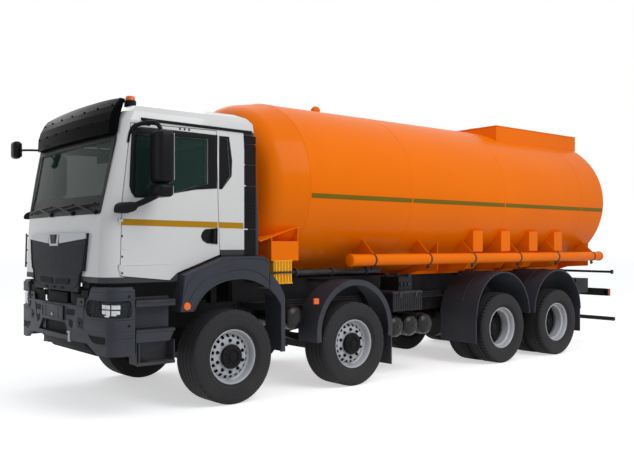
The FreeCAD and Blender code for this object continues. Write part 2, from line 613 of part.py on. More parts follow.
# ---- equipment on the frame ---------------------------------------------------------------------
AIR_R, AIR_PITCH, AIR_Z = 141, 287, 655
AIR_Y = [2717 + AIR_PITCH * n for n in range(3)]
AIR_X = (470, 1100)
CARRIER_T = 14
BATTERY_Y, BATTERY_X, BATTERY_Z = (2605, 3164), (470, 1100), (858, 1109)
VALVE_Y, VALVE_X, VALVE_TOP = (2860, 3120), (620, 960), 1296
FUEL_Y, FUEL_X, FUEL_Z = (2600, 3960), (560, 1210), (490, 1090)
REAR_LOCKER_Y, REAR_LOCKER_X, REAR_LOCKER_Z = (6930, 7290), (640, 1100), (930, 1172)


def make_air_tank(y, z, x):
    """Vessel lying across the vehicle with a domed outer end."""
    dome = 62
    return turned([(x[0], 0), (x[0], AIR_R), (x[1] - dome, AIR_R),
                   (x[1] - 0.26 * dome, 0.7 * AIR_R, x[1], 30), (x[1], 0)], (0, y, z))


def make_air_tanks():
    low, high = AIR_Y[0] - 120, AIR_Y[-1] + 120
    carrier = box((FRAME_X[1] + GAP, FRAME_X[1] + CARRIER_T), (low, high), (AIR_Z - 60, 845))
    arms = [box((FRAME_X[1] + GAP, AIR_X[0] + 10), (y - 40, y + 40), (AIR_Z - 30, AIR_Z + 30))
            for y in AIR_Y]
    bank = joined(carrier, *arms, *[make_air_tank(y, AIR_Z, AIR_X) for y in AIR_Y])
    single_y, single_z = 1000, 866
    single = joined(make_air_tank(single_y, single_z, (490, 1090)),
                    box((FRAME_X[1] + GAP, 500), (single_y - 110, single_y - 10),
                        (single_z - 40, single_z + 40)))
    return [bank, single]


def make_side_boxes():
    battery = joined(box(BATTERY_X, BATTERY_Y, BATTERY_Z),
                     box((FRAME_X[1] + GAP, BATTERY_X[0] + 10), (BATTERY_Y[0] + 100, BATTERY_Y[1] - 100),
                         (900, 1020)))
    valve = box(VALVE_X, VALVE_Y, (BATTERY_Z[1] + GAP, VALVE_TOP))
    arm = box((FRAME_X[1] + GAP, REAR_LOCKER_X[0] + 10), (REAR_LOCKER_Y[0] + 60, REAR_LOCKER_Y[0] + 140),
              (960, 1100))
    locker = joined(box(REAR_LOCKER_X, REAR_LOCKER_Y, REAR_LOCKER_Z), arm)
    return [battery, valve] + pair(locker)


def make_fuel_tank():
    """Rounded tank on the right-hand side, on two brackets."""
    body = box((-FUEL_X[1], -FUEL_X[0]), FUEL_Y, FUEL_Z)
    long_edges = [edge for edge in body.Edges if abs(edge.tangentAt(edge.FirstParameter).y) > 0.9]
    body = body.makeFillet(90, long_edges)
    arms = [box((-FUEL_X[0] - 10, -FRAME_X[1] - GAP), (y, y + 70), (800, 940)) for y in (2760, 3730)]
    return joined(body, *arms)


save("air_tanks", *make_air_tanks())
save("side_boxes", *make_side_boxes())
save("fuel_tank", make_fuel_tank())

# ---- front bumper, lamps and steps --------------------------------------------------------------
BUMPER_REAR_Y = -1194
BUMPER_Z = (636, 1290)
BUMPER_WALL = 50
BUMPER_DIP = 1100                   # top of the middle part, under the grille
HEADLAMP_X, HEADLAMP_Z, HEADLAMP_REAR_Y = 795, (1010, 1182), -1232
BUMPER_PLAN = ((HALF_WIDTH, -1330), (1215, -1425), (1120, -1465), (0, -1545))


def bumper_block(inset, z, rear=BUMPER_REAR_Y):
    """Bumper outline in plan, moved in by inset, between two heights."""
    (side_x, side_y), (turn_x, turn_y), (face_x, face_y), (_, nose_y) = BUMPER_PLAN
    side_x, turn_x, turn_y = side_x - inset, turn_x - 0.75 * inset, turn_y + 0.75 * inset
    face_x, face_y, nose_y = face_x - 0.4 * inset, face_y + inset, nose_y + inset
    return slab_z([(side_x, rear), (side_x, side_y), (turn_x, turn_y, face_x, face_y),
                   (0, nose_y, -face_x, face_y), (-turn_x, turn_y, -side_x, side_y), (-side_x, rear)], z)


def make_bumper():
    low, high = BUMPER_Z
    skin = bumper_block(0, BUMPER_Z).cut(bumper_block(BUMPER_WALL, (low - 1, high + 1), BUMPER_REAR_Y + 1))
    depth = (-1700, -1000)
    dip = slab_y([(-880, high + 5), (-800, BUMPER_DIP), (800, BUMPER_DIP), (880, high + 5)], depth)
    belly = slab_y([(-1010, low - 5), (-800, 735), (800, 735), (1010, low - 5)], depth)
    mouth = slab_y([(-315, 915), (-450, 785), (450, 785), (315, 915)], depth)
    lamp_holes = pair(box((HEADLAMP_X, HALF_WIDTH + 5), (-1600, HEADLAMP_REAR_Y), HEADLAMP_Z))
    brackets = pair(box(FRAME_X, (-1510, FRAME_Y[0] - GAP), (800, 1000)))
    body = skin.cut(Part.makeCompound([dip, belly, mouth] + lamp_holes))
    trim = bumper_block(BUMPER_WALL / 2, (low, high))
    return joined(body, *[bracket.common(trim) for bracket in brackets])


def make_headlamp():
    inset = 3
    lens = bumper_block(2, HEADLAMP_Z).cut(bumper_block(BUMPER_WALL - 8, (BUMPER_Z[0], BUMPER_Z[1])))
    window = box((HEADLAMP_X + inset, HALF_WIDTH), (-1600, HEADLAMP_REAR_Y - GAP),
                 (HEADLAMP_Z[0] + GAP, HEADLAMP_Z[1] - GAP))
    return lens.common(window)


STEP_Y = (-1180, -735)
STEP_X = (1080, HALF_WIDTH - 5)


def make_steps():
    """Entry steps beside the bumper: back plate, two ledges and the open tread below."""
    back = box((STEP_X[0], STEP_X[0] + 20), STEP_Y, (640, 1205))
    reach = math.hypot(-685 - TILT_Y, 1039 - TILT_Z) - 14
    ledges = [box(STEP_X, STEP_Y, (1115, 1180)), box(STEP_X, STEP_Y, (760, 885))]
    sides = [box((STEP_X[0], STEP_X[1] - 8), (y, y + 14), (531, 760))
             for y in (STEP_Y[0] + 30, STEP_Y[1] - 30)]
    tread = box((STEP_X[0], STEP_X[1] - 8), (STEP_Y[0] + 30, STEP_Y[1] - 16), (531, 556))
    arm = box((FRAME_X[1] + GAP, STEP_X[0] + 5), (-1010, -950), (800, 860))
    steps = joined(back, *ledges, *sides, tread, arm)
    keep = rod((0, TILT_Y, TILT_Z), (HALF_WIDTH, TILT_Y, TILT_Z), reach)
    return steps.common(keep)


save("front_bumper", make_bumper())
save("entry_steps", *pair(make_steps()))

# ---- rear bars and lamps ------------------------------------------------------------------------
LIGHT_BAR_Y, LIGHT_BAR_Z, LAMP_X = (7650, 7740), (862, 985), (1180, 1248)
GUARD_Y, GUARD_Z, GUARD_R = 7888, 460, 34
TOP_BAR_Y, TOP_BAR_Z, TOP_BAR_R = 7800, 1268, 20


def make_rear_bars():
    """Light beam, underrun guard and top bar, each on a pair of arms from the frame's end."""
    end = FRAME_Y[1] + GAP
    beam = box((-LAMP_X[0] + GAP, LAMP_X[0] - GAP), (end, LIGHT_BAR_Y[1]), LIGHT_BAR_Z)
    plate = box((-200, 200), (FRAME_Y[1] - 5, LIGHT_BAR_Y[1] + 5), (LIGHT_BAR_Z[0] - 5, LIGHT_BAR_Z[1] + 5))
    beam = beam.cut(plate)
    guard = rod((-HALF_WIDTH + 15, GUARD_Y, GUARD_Z), (HALF_WIDTH - 15, GUARD_Y, GUARD_Z), GUARD_R)
    arms = pair(slab_x([(FRAME_Y[1] - 120, FRAME_Z[0] - GAP), (FRAME_Y[1] - 20, FRAME_Z[0] - GAP),
                        (GUARD_Y, GUARD_Z + 20), (GUARD_Y, GUARD_Z - 25)], (FRAME_X[0], FRAME_X[0] + 40)))
    bar = rod((-HALF_WIDTH + 20, TOP_BAR_Y, TOP_BAR_Z), (HALF_WIDTH - 20, TOP_BAR_Y, TOP_BAR_Z), TOP_BAR_R)
    knobs = pair(rod((HALF_WIDTH - 24, TOP_BAR_Y, TOP_BAR_Z), (HALF_WIDTH, TOP_BAR_Y, TOP_BAR_Z), 36))
    posts = pair(box((FRAME_X[0], FRAME_X[0] + 40), (end, TOP_BAR_Y), (1190, TOP_BAR_Z + 10)))
    return [*beam.Solids, joined(guard, *arms), joined(bar, *knobs, *posts)]


save("rear_bars", *make_rear_bars())
tail_lamp = box(LAMP_X, (FRAME_Y[1] - 40, LIGHT_BAR_Y[1]), LIGHT_BAR_Z)
save("lamps", *pair(make_headlamp(), tail_lamp))


# ---- cab ----------------------------------------------------------------------------------------
# Level outlines: height, nose at the middle, nose at the corner's start, corner's x, where the corner
# meets the side, half width, back wall.
CAB_LEVELS = (
    (1350, -1505, -1478, CAB_FACE_X, -1306, CAB_HALF_W, 420),
    (1870, -1500, -1457, CAB_FACE_X, -1290, CAB_HALF_W, 420),
    (2065, -1482, -1440, CAB_FACE_X, -1280, CAB_HALF_W, 418),
    (2800, -1345, -1300, CAB_FACE_X, -1200, CAB_HALF_W, 360),
    (2990, -1305, -1262, CAB_FACE_X, -1175, CAB_HALF_W, 346),
    (3085, -1262, -1215, CAB_FACE_X - 15, -1130, CAB_HALF_W - 12, 340),
    (3150, -1160, -1125, CAB_FACE_X - 75, -1050, CAB_HALF_W - 64, 290),
    (3198, -1000, -975, CAB_FACE_X - 170, -905, CAB_HALF_W - 165, 190),
    (3226, -700, -690, CAB_FACE_X - 400, -640, CAB_HALF_W - 360, 20),
)


def cab_level(row, inset):
    """Level outline moved in by inset (out when it is negative)."""
    z, nose, face, corner, side, half, back = row
    nose, face, side, back = nose + inset, face + inset, side + 0.6 * inset, back - inset
    corner, half = corner - 0.45 * inset, half - inset
    bulge = (corner + 0.62 * (half - corner), face + 0.30 * (side - face))
    steps = [(half, back), (half, side), bulge + (corner, face), (0, nose, -corner, face),
             (-bulge[0], bulge[1], -half, side), (-half, back)]
    return outline(lambda x, y: Vector(x, y, z), steps)


def cab_body(inset, bottom=CAB_BOTTOM, lift=0):
    """Whole cab as a closed body, moved in by inset, with its roof lowered by lift."""
    rows = []
    for row in CAB_LEVELS:
        z = row[0] if row[0] < GUTTER_Z - 1 else row[0] - lift
        rows.append((z,) + row[1:])
    if bottom < CAB_BOTTOM:
        rows.insert(0, (bottom,) + rows[0][1:])
    return Part.makeLoft([cab_level(row, inset) for row in rows], True, True)


BACK_STEP_X = CAB_HALF_W - 120      # the back corners are stepped in for the louvres


def back_corner(x_from, forward):
    """Block that leaves room for one louvre panel."""
    steps = [(262 - forward, 1300), (262 - forward, 1975), (203 - forward, GUTTER_Z),
             (700, GUTTER_Z), (700, 1300)]
    return slab_x(steps, (x_from, CAB_SPAN_X[1]))


ARCH_LINE = [(-632, 1435), (-110, CAB_ARCH_TOP)]
under_arch = slab_x([(-632, 1200), ARCH_LINE[0], ARCH_LINE[1], (600, CAB_ARCH_TOP), (600, 1200)], CAB_SPAN_X)
floor_space = slab_x([(-1600, 1200), (-1600, CAB_BOTTOM + CAB_FLOOR_T), (-680, CAB_BOTTOM + CAB_FLOOR_T),
                      (-650, 1495), (-130, CAB_ARCH_TOP + CAB_FLOOR_T), (600, CAB_ARCH_TOP + CAB_FLOOR_T),
                      (600, 1200)], CAB_SPAN_X)

DOOR_OUTLINE = [(-1298, 1422), (-1274, 2177), (-1178, 2962), (-150, 2974), (-119, 1966), (-101, 1620),
                (-110, 1618), (-632, 1435), (-728, 1358), (-1240, 1410)]
DOOR_X = (CAB_HALF_W - CAB_WALL - 20, CAB_HALF_W + 180)
SIDE_X = (CAB_HALF_W - 220, CAB_HALF_W + 180)
DOOR_WINDOW = [(-1108, 2850), (-262, 2868), (-262, 2385), (-400, 2362), (-790, 2240), (-1132, 2222)]
QUARTER_WINDOW = [(-84, 2888), (-10, 2890), (26, 2488), (-62, 2368), (-88, 2368)]
WINDSCREEN = [(-985, 2075), (-985, 2790), (985, 2790), (985, 2075)]


def side_slab(steps, x, shrink=0):
    """Side outline moved in by shrink all round and carried across."""
    wire = outline(lambda y, z: Vector(x[0], y, z), steps)
    if shrink:
        wire = wire.makeOffset2D(-shrink, 2)
    return Part.Face(wire).extrude(Vector(x[1] - x[0], 0, 0))


outer = cab_body(0)
hollow = cab_body(CAB_WALL, lift=CAB_WALL).cut(floor_space)
hollow = hollow.cut(Part.makeCompound(pair(back_corner(BACK_STEP_X - CAB_WALL, CAB_WALL))))
wall = outer.cut(Part.makeCompound(pair(back_corner(BACK_STEP_X, 0)) + [under_arch])).cut(hollow)
door_spaces = pair(side_slab(DOOR_OUTLINE, DOOR_X))
quarter_spaces = pair(side_slab(QUARTER_WINDOW, SIDE_X))
screen_space = slab_y(WINDSCREEN, (-1700, -1200))
wall = wall.cut(Part.makeCompound(door_spaces + quarter_spaces + [screen_space]))


def tilt_lugs():
    """Arms under the floor with the pins the cab tilts on."""
    arm = box(TILT_ARM_X, (TILT_Y - 33, TILT_Y + 33), (TILT_Z, CAB_BOTTOM + 2))
    end = rod((TILT_ARM_X[0], TILT_Y, TILT_Z), (TILT_ARM_X[1], TILT_Y, TILT_Z), 33)
    pin = rod((TILT_ARM_X[0], TILT_Y, TILT_Z), (TILT_POST_X[1], TILT_Y, TILT_Z), TILT_PIN_R)
    return pair(joined(arm, end, pin))


def on_hinge(low, high, radius):
    """Upright cylinder on the left door's hinge axis."""
    return rod((DOOR_HINGE_X, DOOR_HINGE_Y, low), (DOOR_HINGE_X, DOOR_HINGE_Y, high), radius)


hinge_recess, hinge_pins = [], []
for z in DOOR_HINGE_Z:
    hinge_recess.append(on_hinge(z, z + DOOR_KNUCKLE_H + 5, DOOR_KNUCKLE_R + 5).fuse(
        box((DOOR_HINGE_X - DOOR_KNUCKLE_R - 5, DOOR_HINGE_X + 8), (DOOR_HINGE_Y, DOOR_HINGE_Y + 45),
            (z, z + DOOR_KNUCKLE_H + 5))))
    hinge_pins.append(on_hinge(z - DOOR_KNUCKLE_H, z, DOOR_KNUCKLE_R).fuse(
        on_hinge(z - DOOR_KNUCKLE_H, z + DOOR_KNUCKLE_H, DOOR_PIN_R)))
wall = wall.cut(Part.makeCompound(pair(*hinge_recess)))
below_floor = floor_space
front_zone = box(CAB_SPAN_X, (-1700, -700), (CAB_BOTTOM - 5, GUTTER_Z)).cut(below_floor)
back_zone = box(CAB_SPAN_X, (-700, 700), (CAB_BOTTOM - 5, GUTTER_Z)).cut(below_floor)
roof_zone = box(CAB_SPAN_X, (-1700, 700), (GUTTER_Z, 3400))
save("cab_floor", joined(wall.common(below_floor), *tilt_lugs()))
save("cab_front", joined(wall.common(front_zone), *pair(*hinge_pins)))
save("cab_back", wall.common(back_zone))
save("cab_roof", wall.common(roof_zone))

glass_skin = cab_body(14).cut(cab_body(20))
screen = glass_skin.common(slab_y([(-985 + GAP, 2075 + GAP), (-985 + GAP, 2790 - GAP),
                                   (985 - GAP, 2790 - GAP), (985 - GAP, 2075 + GAP)], (-1700, -1200)))
quarters = [glass_skin.common(slab) for slab in pair(side_slab(QUARTER_WINDOW, SIDE_X, GAP))]
save("cab_glass", screen, *quarters)

GRILLE = [(-790, 1850), (790, 1850), (735, 1462), (660, 1462), (620, 1245), (-620, 1245), (-660, 1462),
          (-735, 1462)]
grille_skin = cab_body(-25, bottom=1230).cut(cab_body(-GAP, bottom=1220))
save("grille", grille_skin.common(slab_y(GRILLE, (-1700, -1400))))

VISOR_X, VISOR_T, VISOR_LOW = CAB_HALF_W - 40, 18, 2856
# Height, nose at the middle, nose at the corner's start, where the corner would meet the side.
VISOR_LEVELS = (
    (2800, -1403, -1352, -1195),
    (2990, -1392, -1342, -1109),
    (3080, -1362, -1314, -1101),
    (3150, -1322, -1277, -1114),
    (3205, -1282, -1239, -1109),
    (3290, -1210, -1168, -1060),
)


def visor_body(inset):
    """Closed body behind the visor's outer face, moved in by inset."""
    return Part.makeLoft([cab_level((z, nose, face, VISOR_X - 100, side, VISOR_X + 30, -1000), inset)
                          for z, nose, face, side in VISOR_LEVELS], True, True)


visor_face = slab_y([(-VISOR_X, VISOR_LOW), (-VISOR_X, 3150), (42 - VISOR_X, 3202, 140 - VISOR_X, 3224),
                     (0, 3250, VISOR_X - 140, 3224), (VISOR_X - 42, 3202, VISOR_X, 3150),
                     (VISOR_X, VISOR_LOW)], (-1700, -1110))
visor_side = slab_x([(-1700, 2800), (-1700, 3300), (-1150, 3300), (-1196, 3205), (-1228, 3150),
                     (-1250, 3080), (-1270, 2990), (-1302, 2800)], (-VISOR_X, VISOR_X))
visor_shell = visor_body(0).cut(visor_body(VISOR_T)).common(visor_face).common(visor_side)
visor_stays = [box((x, x + 24), (-1450, -1180), (3010, 3060)) for x in (-912, -12, 888)]
stay_space = visor_body(VISOR_T / 2).cut(cab_body(-GAP))
save("sun_visor", joined(visor_shell, *[stay.common(stay_space) for stay in visor_stays]))

louvre_steps = [(262 + GAP, CAB_ARCH_TOP + 2), (262 + GAP, 1975), (203 + GAP, GUTTER_Z - GAP),
                (346, GUTTER_Z - GAP), (418, 1975), (415, CAB_ARCH_TOP + 2)]
save("side_louvres", *pair(slab_x(louvre_steps, (BACK_STEP_X + GAP, CAB_HALF_W - 8))))

BEACON_X, BEACON_Y, BEACON_BASE, BEACON_TOP, BEACON_R = 850, -1045, 3232, 3288, 56


def make_beacon():
    """Rotating beacon on a foot shaped to the roof."""
    foot = rod((BEACON_X, BEACON_Y, 3080), (BEACON_X, BEACON_Y, BEACON_BASE), BEACON_R + 6)
    dome = rod((BEACON_X, BEACON_Y, BEACON_BASE), (BEACON_X, BEACON_Y, BEACON_TOP), BEACON_R)
    return joined(foot, dome).cut(cab_body(-GAP))


save("roof_beacons", *pair(make_beacon()))

FLARE_X = (CAB_HALF_W - 60, HALF_WIDTH)
FLARE = [(-675, 1039), (-620, 1420), (-105, 1602), (380, 1608), (470, 1560), (470, 1236),
         (60, 1373, -510, 1066), (-515, 1039)]
flare = slab_x(FLARE, FLARE_X)
flare_hollow = slab_x([(-640, 1039), (-590, 1395), (-106, 1568), (400, 1568), (440, 1540), (440, 1236),
                       (60, 1340, -515, 1030), (-520, 1000)], (FLARE_X[0] - 5, HALF_WIDTH - 40))
flare_top = box((FLARE_X[0], CAB_HALF_W - 10), (-80, 380), (1600, CAB_ARCH_TOP - GAP))
save("cab_mudguards", *pair(joined(flare.cut(flare_hollow), flare_top)))


# ---- inside the cab -----------------------------------------------------------------------------
def make_seat():
    """Pedestal, cushion, back and headrest in one padded body."""
    pedestal = box((400, 640), (-480, -120), (CAB_ARCH_TOP + CAB_FLOOR_T + GAP, 1860))
    cushion = slab_x([(-620, 1860), (-620, 1960), (-120, 1950), (-60, 1860)], (260, 780))
    back = slab_x([(-130, 1900), (-170, 1960), (-20, 2560), (70, 2560), (-10, 1900)], (270, 770))
    head = slab_x([(-30, 2540), (-15, 2740), (65, 2740), (60, 2540)], (390, 650))
    return joined(pedestal, cushion, back, head)


def make_dashboard():
    """Dash across the cab with the steering column and wheel on the left."""
    dash_space = cab_body(CAB_WALL + GAP, lift=CAB_WALL)
    dash = slab_x([(-1500, 1700), (-1500, 2040), (-1240, 2075), (-1120, 2030), (-1060, 1880), (-1100, 1700)],
                  (-1050, 1050)).common(dash_space)
    wheel_x, wheel_y, wheel_z, wheel_r = 520, -850, 2080, 225
    axis = Vector(0, 0.45, 0.89)
    rim = Part.makeTorus(wheel_r, 18, Vector(wheel_x, wheel_y, wheel_z), axis)
    spokes = [rod((wheel_x - wheel_r, wheel_y, wheel_z), (wheel_x + wheel_r, wheel_y, wheel_z), 14)]
    column = rod((wheel_x, wheel_y, wheel_z), (wheel_x, -1150, 1900), 38)
    return joined(dash, rim, *spokes, column)


save("seats", *pair(make_seat()))
save("dashboard", make_dashboard())


# ---- doors and mirrors --------------------------------------------------------------------------
def make_door():
    """Door as thick as the cab's wall, with its window cut out."""
    skin = cab_body(0).cut(cab_body(CAB_WALL))
    leaf = skin.common(side_slab(DOOR_OUTLINE, DOOR_X, PANEL_GAP))
    leaf = leaf.cut(side_slab(DOOR_WINDOW, SIDE_X))
    knuckles = []
    for z in DOOR_HINGE_Z:
        leaf = leaf.cut(on_hinge(z - DOOR_KNUCKLE_H - 2, z + 2, DOOR_KNUCKLE_R + 2))
        low, high = z + 1, z + DOOR_KNUCKLE_H
        strap = box((DOOR_HINGE_X - 12, DOOR_HINGE_X + 3), (DOOR_HINGE_Y, DOOR_HINGE_Y + 38), (low, high))
        knuckles.append(joined(on_hinge(low, high, DOOR_KNUCKLE_R), strap).cut(
            on_hinge(low - 1, high + 1, DOOR_PIN_R + RUN_FIT)))
    return joined(leaf, *knuckles)


def make_door_glass():
    return glass_skin.common(side_slab(DOOR_WINDOW, SIDE_X, GAP))


def make_mirror(tip_y):
    """Main mirror between an upper arm and a foot whose round nose ends at tip_y."""
    skin_x = CAB_HALF_W + GAP
    housing = box((skin_x + 114.7, skin_x + 364.7), (-1045, -862), (2205, 2872))
    upright = [edge for edge in housing.Edges if abs(edge.tangentAt(edge.FirstParameter).z) > 0.9]
    housing = housing.makeFillet(50, upright)
    bends = ((skin_x, -1165, 2850), (skin_x + 29.7, -1130, 2915), (skin_x + 169.7, -1000, 2925),
             (skin_x + 219.7, -960, 2840))
    arms = [rod(bends[n], bends[n + 1], 22) for n in range(3)]
    arms += [Part.makeSphere(22, Vector(*bends[n])) for n in (1, 2)]
    root_y = min(tip_y + 247, -1190)
    out = skin_x + 129.7
    foot = slab_z([(skin_x, root_y), (out, tip_y), (out + 21, tip_y - 16, out + 40, tip_y + 7),
                   (out + 42, tip_y + 132), (out, -1110), (skin_x, -1090)], (2040, 2160))
    lower = rod((out - 25, -1150, 2140), (out + 70, -970, 2225), 28)
    return joined(housing, *arms, foot, lower).cut(door_space)


door_space = box((SIDE_X[0], CAB_HALF_W + GAP), (-1600, 0), (1500, 3100))
door, door_glass = make_door(), make_door_glass()
for side, sign in SIDES:
    save(f"door_{side}", to_side(door, sign))
    save(f"door_glass_{side}", to_side(door_glass, sign))
    save(f"mirror_{side}", to_side(make_mirror(-1462 if sign > 0 else -1330), sign))

KERB_X, KERB_Y, KERB_Z = (-1290, -1130), (-1585, -1480), (2775, 2990)
kerb_head = box(KERB_X, KERB_Y, KERB_Z)
kerb_arm = rod((-1190, -1490, 2882), (-1040, -1225, 2882), 12).cut(cab_body(-GAP))
save("kerb_mirror", joined(kerb_head, kerb_arm))

# ---- save ---------------------------------------------------------------------------------------
MIDDLE_Y = (KERB_Y[0] + GUARD_Y + GUARD_R) / 2

os.makedirs("parts", exist_ok=True)
for name, solids in pieces.items():
    shape = Part.makeCompound(solids) if len(solids) > 1 else solids[0]
    shape.translate(Vector(0, -MIDDLE_Y, 0))
    shape.exportStep(f"parts/{name}.step")
print(len(pieces), "nodes; shift in Y", -MIDDLE_Y)
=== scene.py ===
import json
import math

import bpy
from mathutils import Matrix, Vector


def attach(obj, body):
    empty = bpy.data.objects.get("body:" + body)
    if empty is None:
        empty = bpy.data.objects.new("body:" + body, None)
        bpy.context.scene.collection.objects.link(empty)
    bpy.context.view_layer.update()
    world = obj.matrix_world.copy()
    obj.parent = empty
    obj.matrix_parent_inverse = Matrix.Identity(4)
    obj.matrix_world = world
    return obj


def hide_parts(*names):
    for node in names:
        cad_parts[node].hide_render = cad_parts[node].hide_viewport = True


# Four-axle tank lorry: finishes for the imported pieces, and the detail that is modelled on them.
# Metres; +X is the left-hand side, -Y the front, +Z up.  Lengths along the vehicle are written from
# the first axle and moved by MIDDLE into the frame's own origin.

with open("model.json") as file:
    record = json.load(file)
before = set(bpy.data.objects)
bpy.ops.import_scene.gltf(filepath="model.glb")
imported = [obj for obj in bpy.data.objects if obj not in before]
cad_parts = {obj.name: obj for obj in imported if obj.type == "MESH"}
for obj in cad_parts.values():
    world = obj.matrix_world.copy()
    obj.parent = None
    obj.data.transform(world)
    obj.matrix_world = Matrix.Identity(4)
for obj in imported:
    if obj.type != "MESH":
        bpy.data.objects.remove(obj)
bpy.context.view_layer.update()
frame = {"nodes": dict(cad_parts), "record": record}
NODES = frame["nodes"]
MIDDLE = -3.1685


def at(x, y, z):
    """A place given from the first axle, in the frame's coordinates."""
    return Vector((x, y + MIDDLE, z))


# ---- camera and light ---------------------------------------------------------------------------
CAMERA_PLACE, CAMERA_TURN, LENS_MM, SHIFT = (8.075, -4.69, 1.739), 0.9168, 43.36, (0.067, 0.0177)


def set_camera():
    """Three-quarter view of the vehicle's left side and front."""
    bpy.ops.object.camera_add(location=at(*CAMERA_PLACE), rotation=(math.pi / 2, 0, CAMERA_TURN))
    camera = bpy.context.object
    camera.data.lens = LENS_MM
    camera.data.sensor_width = 36
    camera.data.shift_x, camera.data.shift_y = SHIFT
    camera.data.clip_end = 200
    bpy.context.scene.camera = camera


set_camera()


SKY_LIGHT, FLOOR_GLOW = 0.54, 0.52


def add_softbox(place, size, power):
    """Large rectangular lamp that looks at the middle of the vehicle."""
    direction = (at(0, 3, 1.5) - place).to_track_quat("-Z", "Y").to_euler()
    bpy.ops.object.light_add(type="AREA", location=place, rotation=direction)
    lamp = bpy.context.object.data
    lamp.shape = "RECTANGLE"
    lamp.size, lamp.size_y = size
    lamp.energy = power


def seen_directly(tree):
    """1 for what the camera sees, straight or through glass or in a shiny surface."""
    path = tree.nodes.new("ShaderNodeLightPath")
    total = path.outputs["Is Camera Ray"]
    for ray in ("Is Glossy Ray", "Is Transmission Ray"):
        step = tree.nodes.new("ShaderNodeMath")
        step.operation = "MAXIMUM"
        tree.links.new(total, step.inputs[0])
        tree.links.new(path.outputs[ray], step.inputs[1])
        total = step.outputs[0]
    return total


def set_world():
    """Plain white surround, dimmer as a light than it looks."""
    world = bpy.data.worlds.new("surround")
    bpy.context.scene.world = world
    world.use_nodes = True
    tree = world.node_tree
    tree.nodes.clear()
    out = tree.nodes.new("ShaderNodeOutputWorld")
    lit, seen, both = (tree.nodes.new(kind) for kind in ("ShaderNodeBackground", "ShaderNodeBackground",
                                                         "ShaderNodeMixShader"))
    lit.inputs["Color"].default_value = (0.9, 0.95, 1.0, 1)
    lit.inputs["Strength"].default_value = SKY_LIGHT
    seen.inputs["Color"].default_value = (1, 1, 1, 1)
    tree.links.new(seen_directly(tree), both.inputs[0])
    tree.links.new(lit.outputs[0], both.inputs[1])
    tree.links.new(seen.outputs[0], both.inputs[2])
    tree.links.new(both.outputs[0], out.inputs["Surface"])


set_world()
add_softbox(at(9, 3, 10), (7, 9), 760)
add_softbox(at(-7, 2, 9), (8, 8), 230)
bpy.context.scene.view_settings.view_transform = "Standard"


# ---- finishes -----------------------------------------------------------------------------------
class Value:
    """A shader number that takes part in Python sums; each step adds one Math node."""

    def __init__(self, finish, socket):
        self.finish, self.socket = finish, socket

    def math(self, operation, *others, clamp=False):
        node = self.finish.tree.nodes.new("ShaderNodeMath")
        node.operation = operation
        node.use_clamp = clamp
        for slot, item in enumerate(others):
            self.finish.feed(node.inputs[slot], item)
        return Value(self.finish, node.outputs[0])

    def __add__(self, other): return self.math("ADD", self, other)
    def __radd__(self, other): return self.math("ADD", other, self)
    def __sub__(self, other): return self.math("SUBTRACT", self, other)
    def __rsub__(self, other): return self.math("SUBTRACT", other, self)
    def __mul__(self, other): return self.math("MULTIPLY", self, other)
    def __rmul__(self, other): return self.math("MULTIPLY", other, self)

    def fade(self, low, high):
        """0 below low, 1 above high, even between."""
        return self.math("MULTIPLY", self - low, 1 / (high - low), clamp=True)

    def wave(self, pitch):
        """Sine along the value, one turn per pitch."""
        return self.math("SINE", self * (2 * math.pi / pitch))


class Finish:
    """One node material for a slot of the record."""

    def __init__(self, name, slot, color, roughness, metallic=0.0, coat=0.0):
        self.material = bpy.data.materials.new(name)
        self.material.use_nodes = True
        self.tree = self.material.node_tree
        self.slot = slot
        self.shader = self.tree.nodes["Principled BSDF"]
        self.set("Base Color", color)
        self.set("Roughness", roughness)
        self.set("Metallic", metallic)
        self.set("Coat Weight", coat)
        self.place = self.node("ShaderNodeTexCoord").outputs["Object"]

    def feed(self, socket, item):
        if isinstance(item, Value):
            item = item.socket
        if isinstance(item, bpy.types.NodeSocket):
            self.tree.links.new(item, socket)
        elif isinstance(item, (tuple, list)) and len(item) == 3 and socket.type == "RGBA":
            socket.default_value = (*item, 1)
        else:
            socket.default_value = item

    def node(self, kind, settings=(), **inputs):
        made = self.tree.nodes.new(kind)
        for key, setting in dict(settings).items():
            setattr(made, key, setting)
        for key, item in inputs.items():
            self.feed(made.inputs[key], item)
        return made

    def set(self, socket, item):
        self.feed(self.shader.inputs[socket], item)

    def axes(self):
        """Object coordinates as three numbers."""
        split = self.node("ShaderNodeSeparateXYZ", Vector=self.place)
        return [Value(self, socket) for socket in split.outputs]

    def noise(self, scale, detail=3.0, stretch=(1, 1, 1)):
        place = self.node("ShaderNodeMapping", Vector=self.place, Scale=stretch).outputs[0]
        made = self.node("ShaderNodeTexNoise", Vector=place, Scale=scale, Detail=detail)
        return Value(self, made.outputs[0])

    def cells(self, scale):
        made = self.node("ShaderNodeTexVoronoi", Vector=self.place, Scale=scale)
        return Value(self, made.outputs["Distance"])

    def mix(self, mask, first, second):
        """Colour that goes from first to second with the mask."""
        made = self.node("ShaderNodeMix", {"data_type": "RGBA"})
        self.feed(made.inputs[0], mask)
        self.feed(made.inputs[6], first)
        self.feed(made.inputs[7], second)
        return made.outputs[2]

    def bump(self, height, distance, strength):
        made = self.node("ShaderNodeBump", Height=height, Distance=distance, Strength=strength)
        self.set("Normal", made.outputs[0])


def dust(finish, base, tint=(0.3, 0.27, 0.23), low=0.2, high=1.2, amount=0.2):
    """Road dust that fades out with height."""
    height = finish.axes()[2]
    patch = finish.noise(2.3, 5.0)
    mask = (1 - height.fade(low, high)) * patch.fade(0.35, 0.75) * amount
    return finish.mix(mask, base, tint)


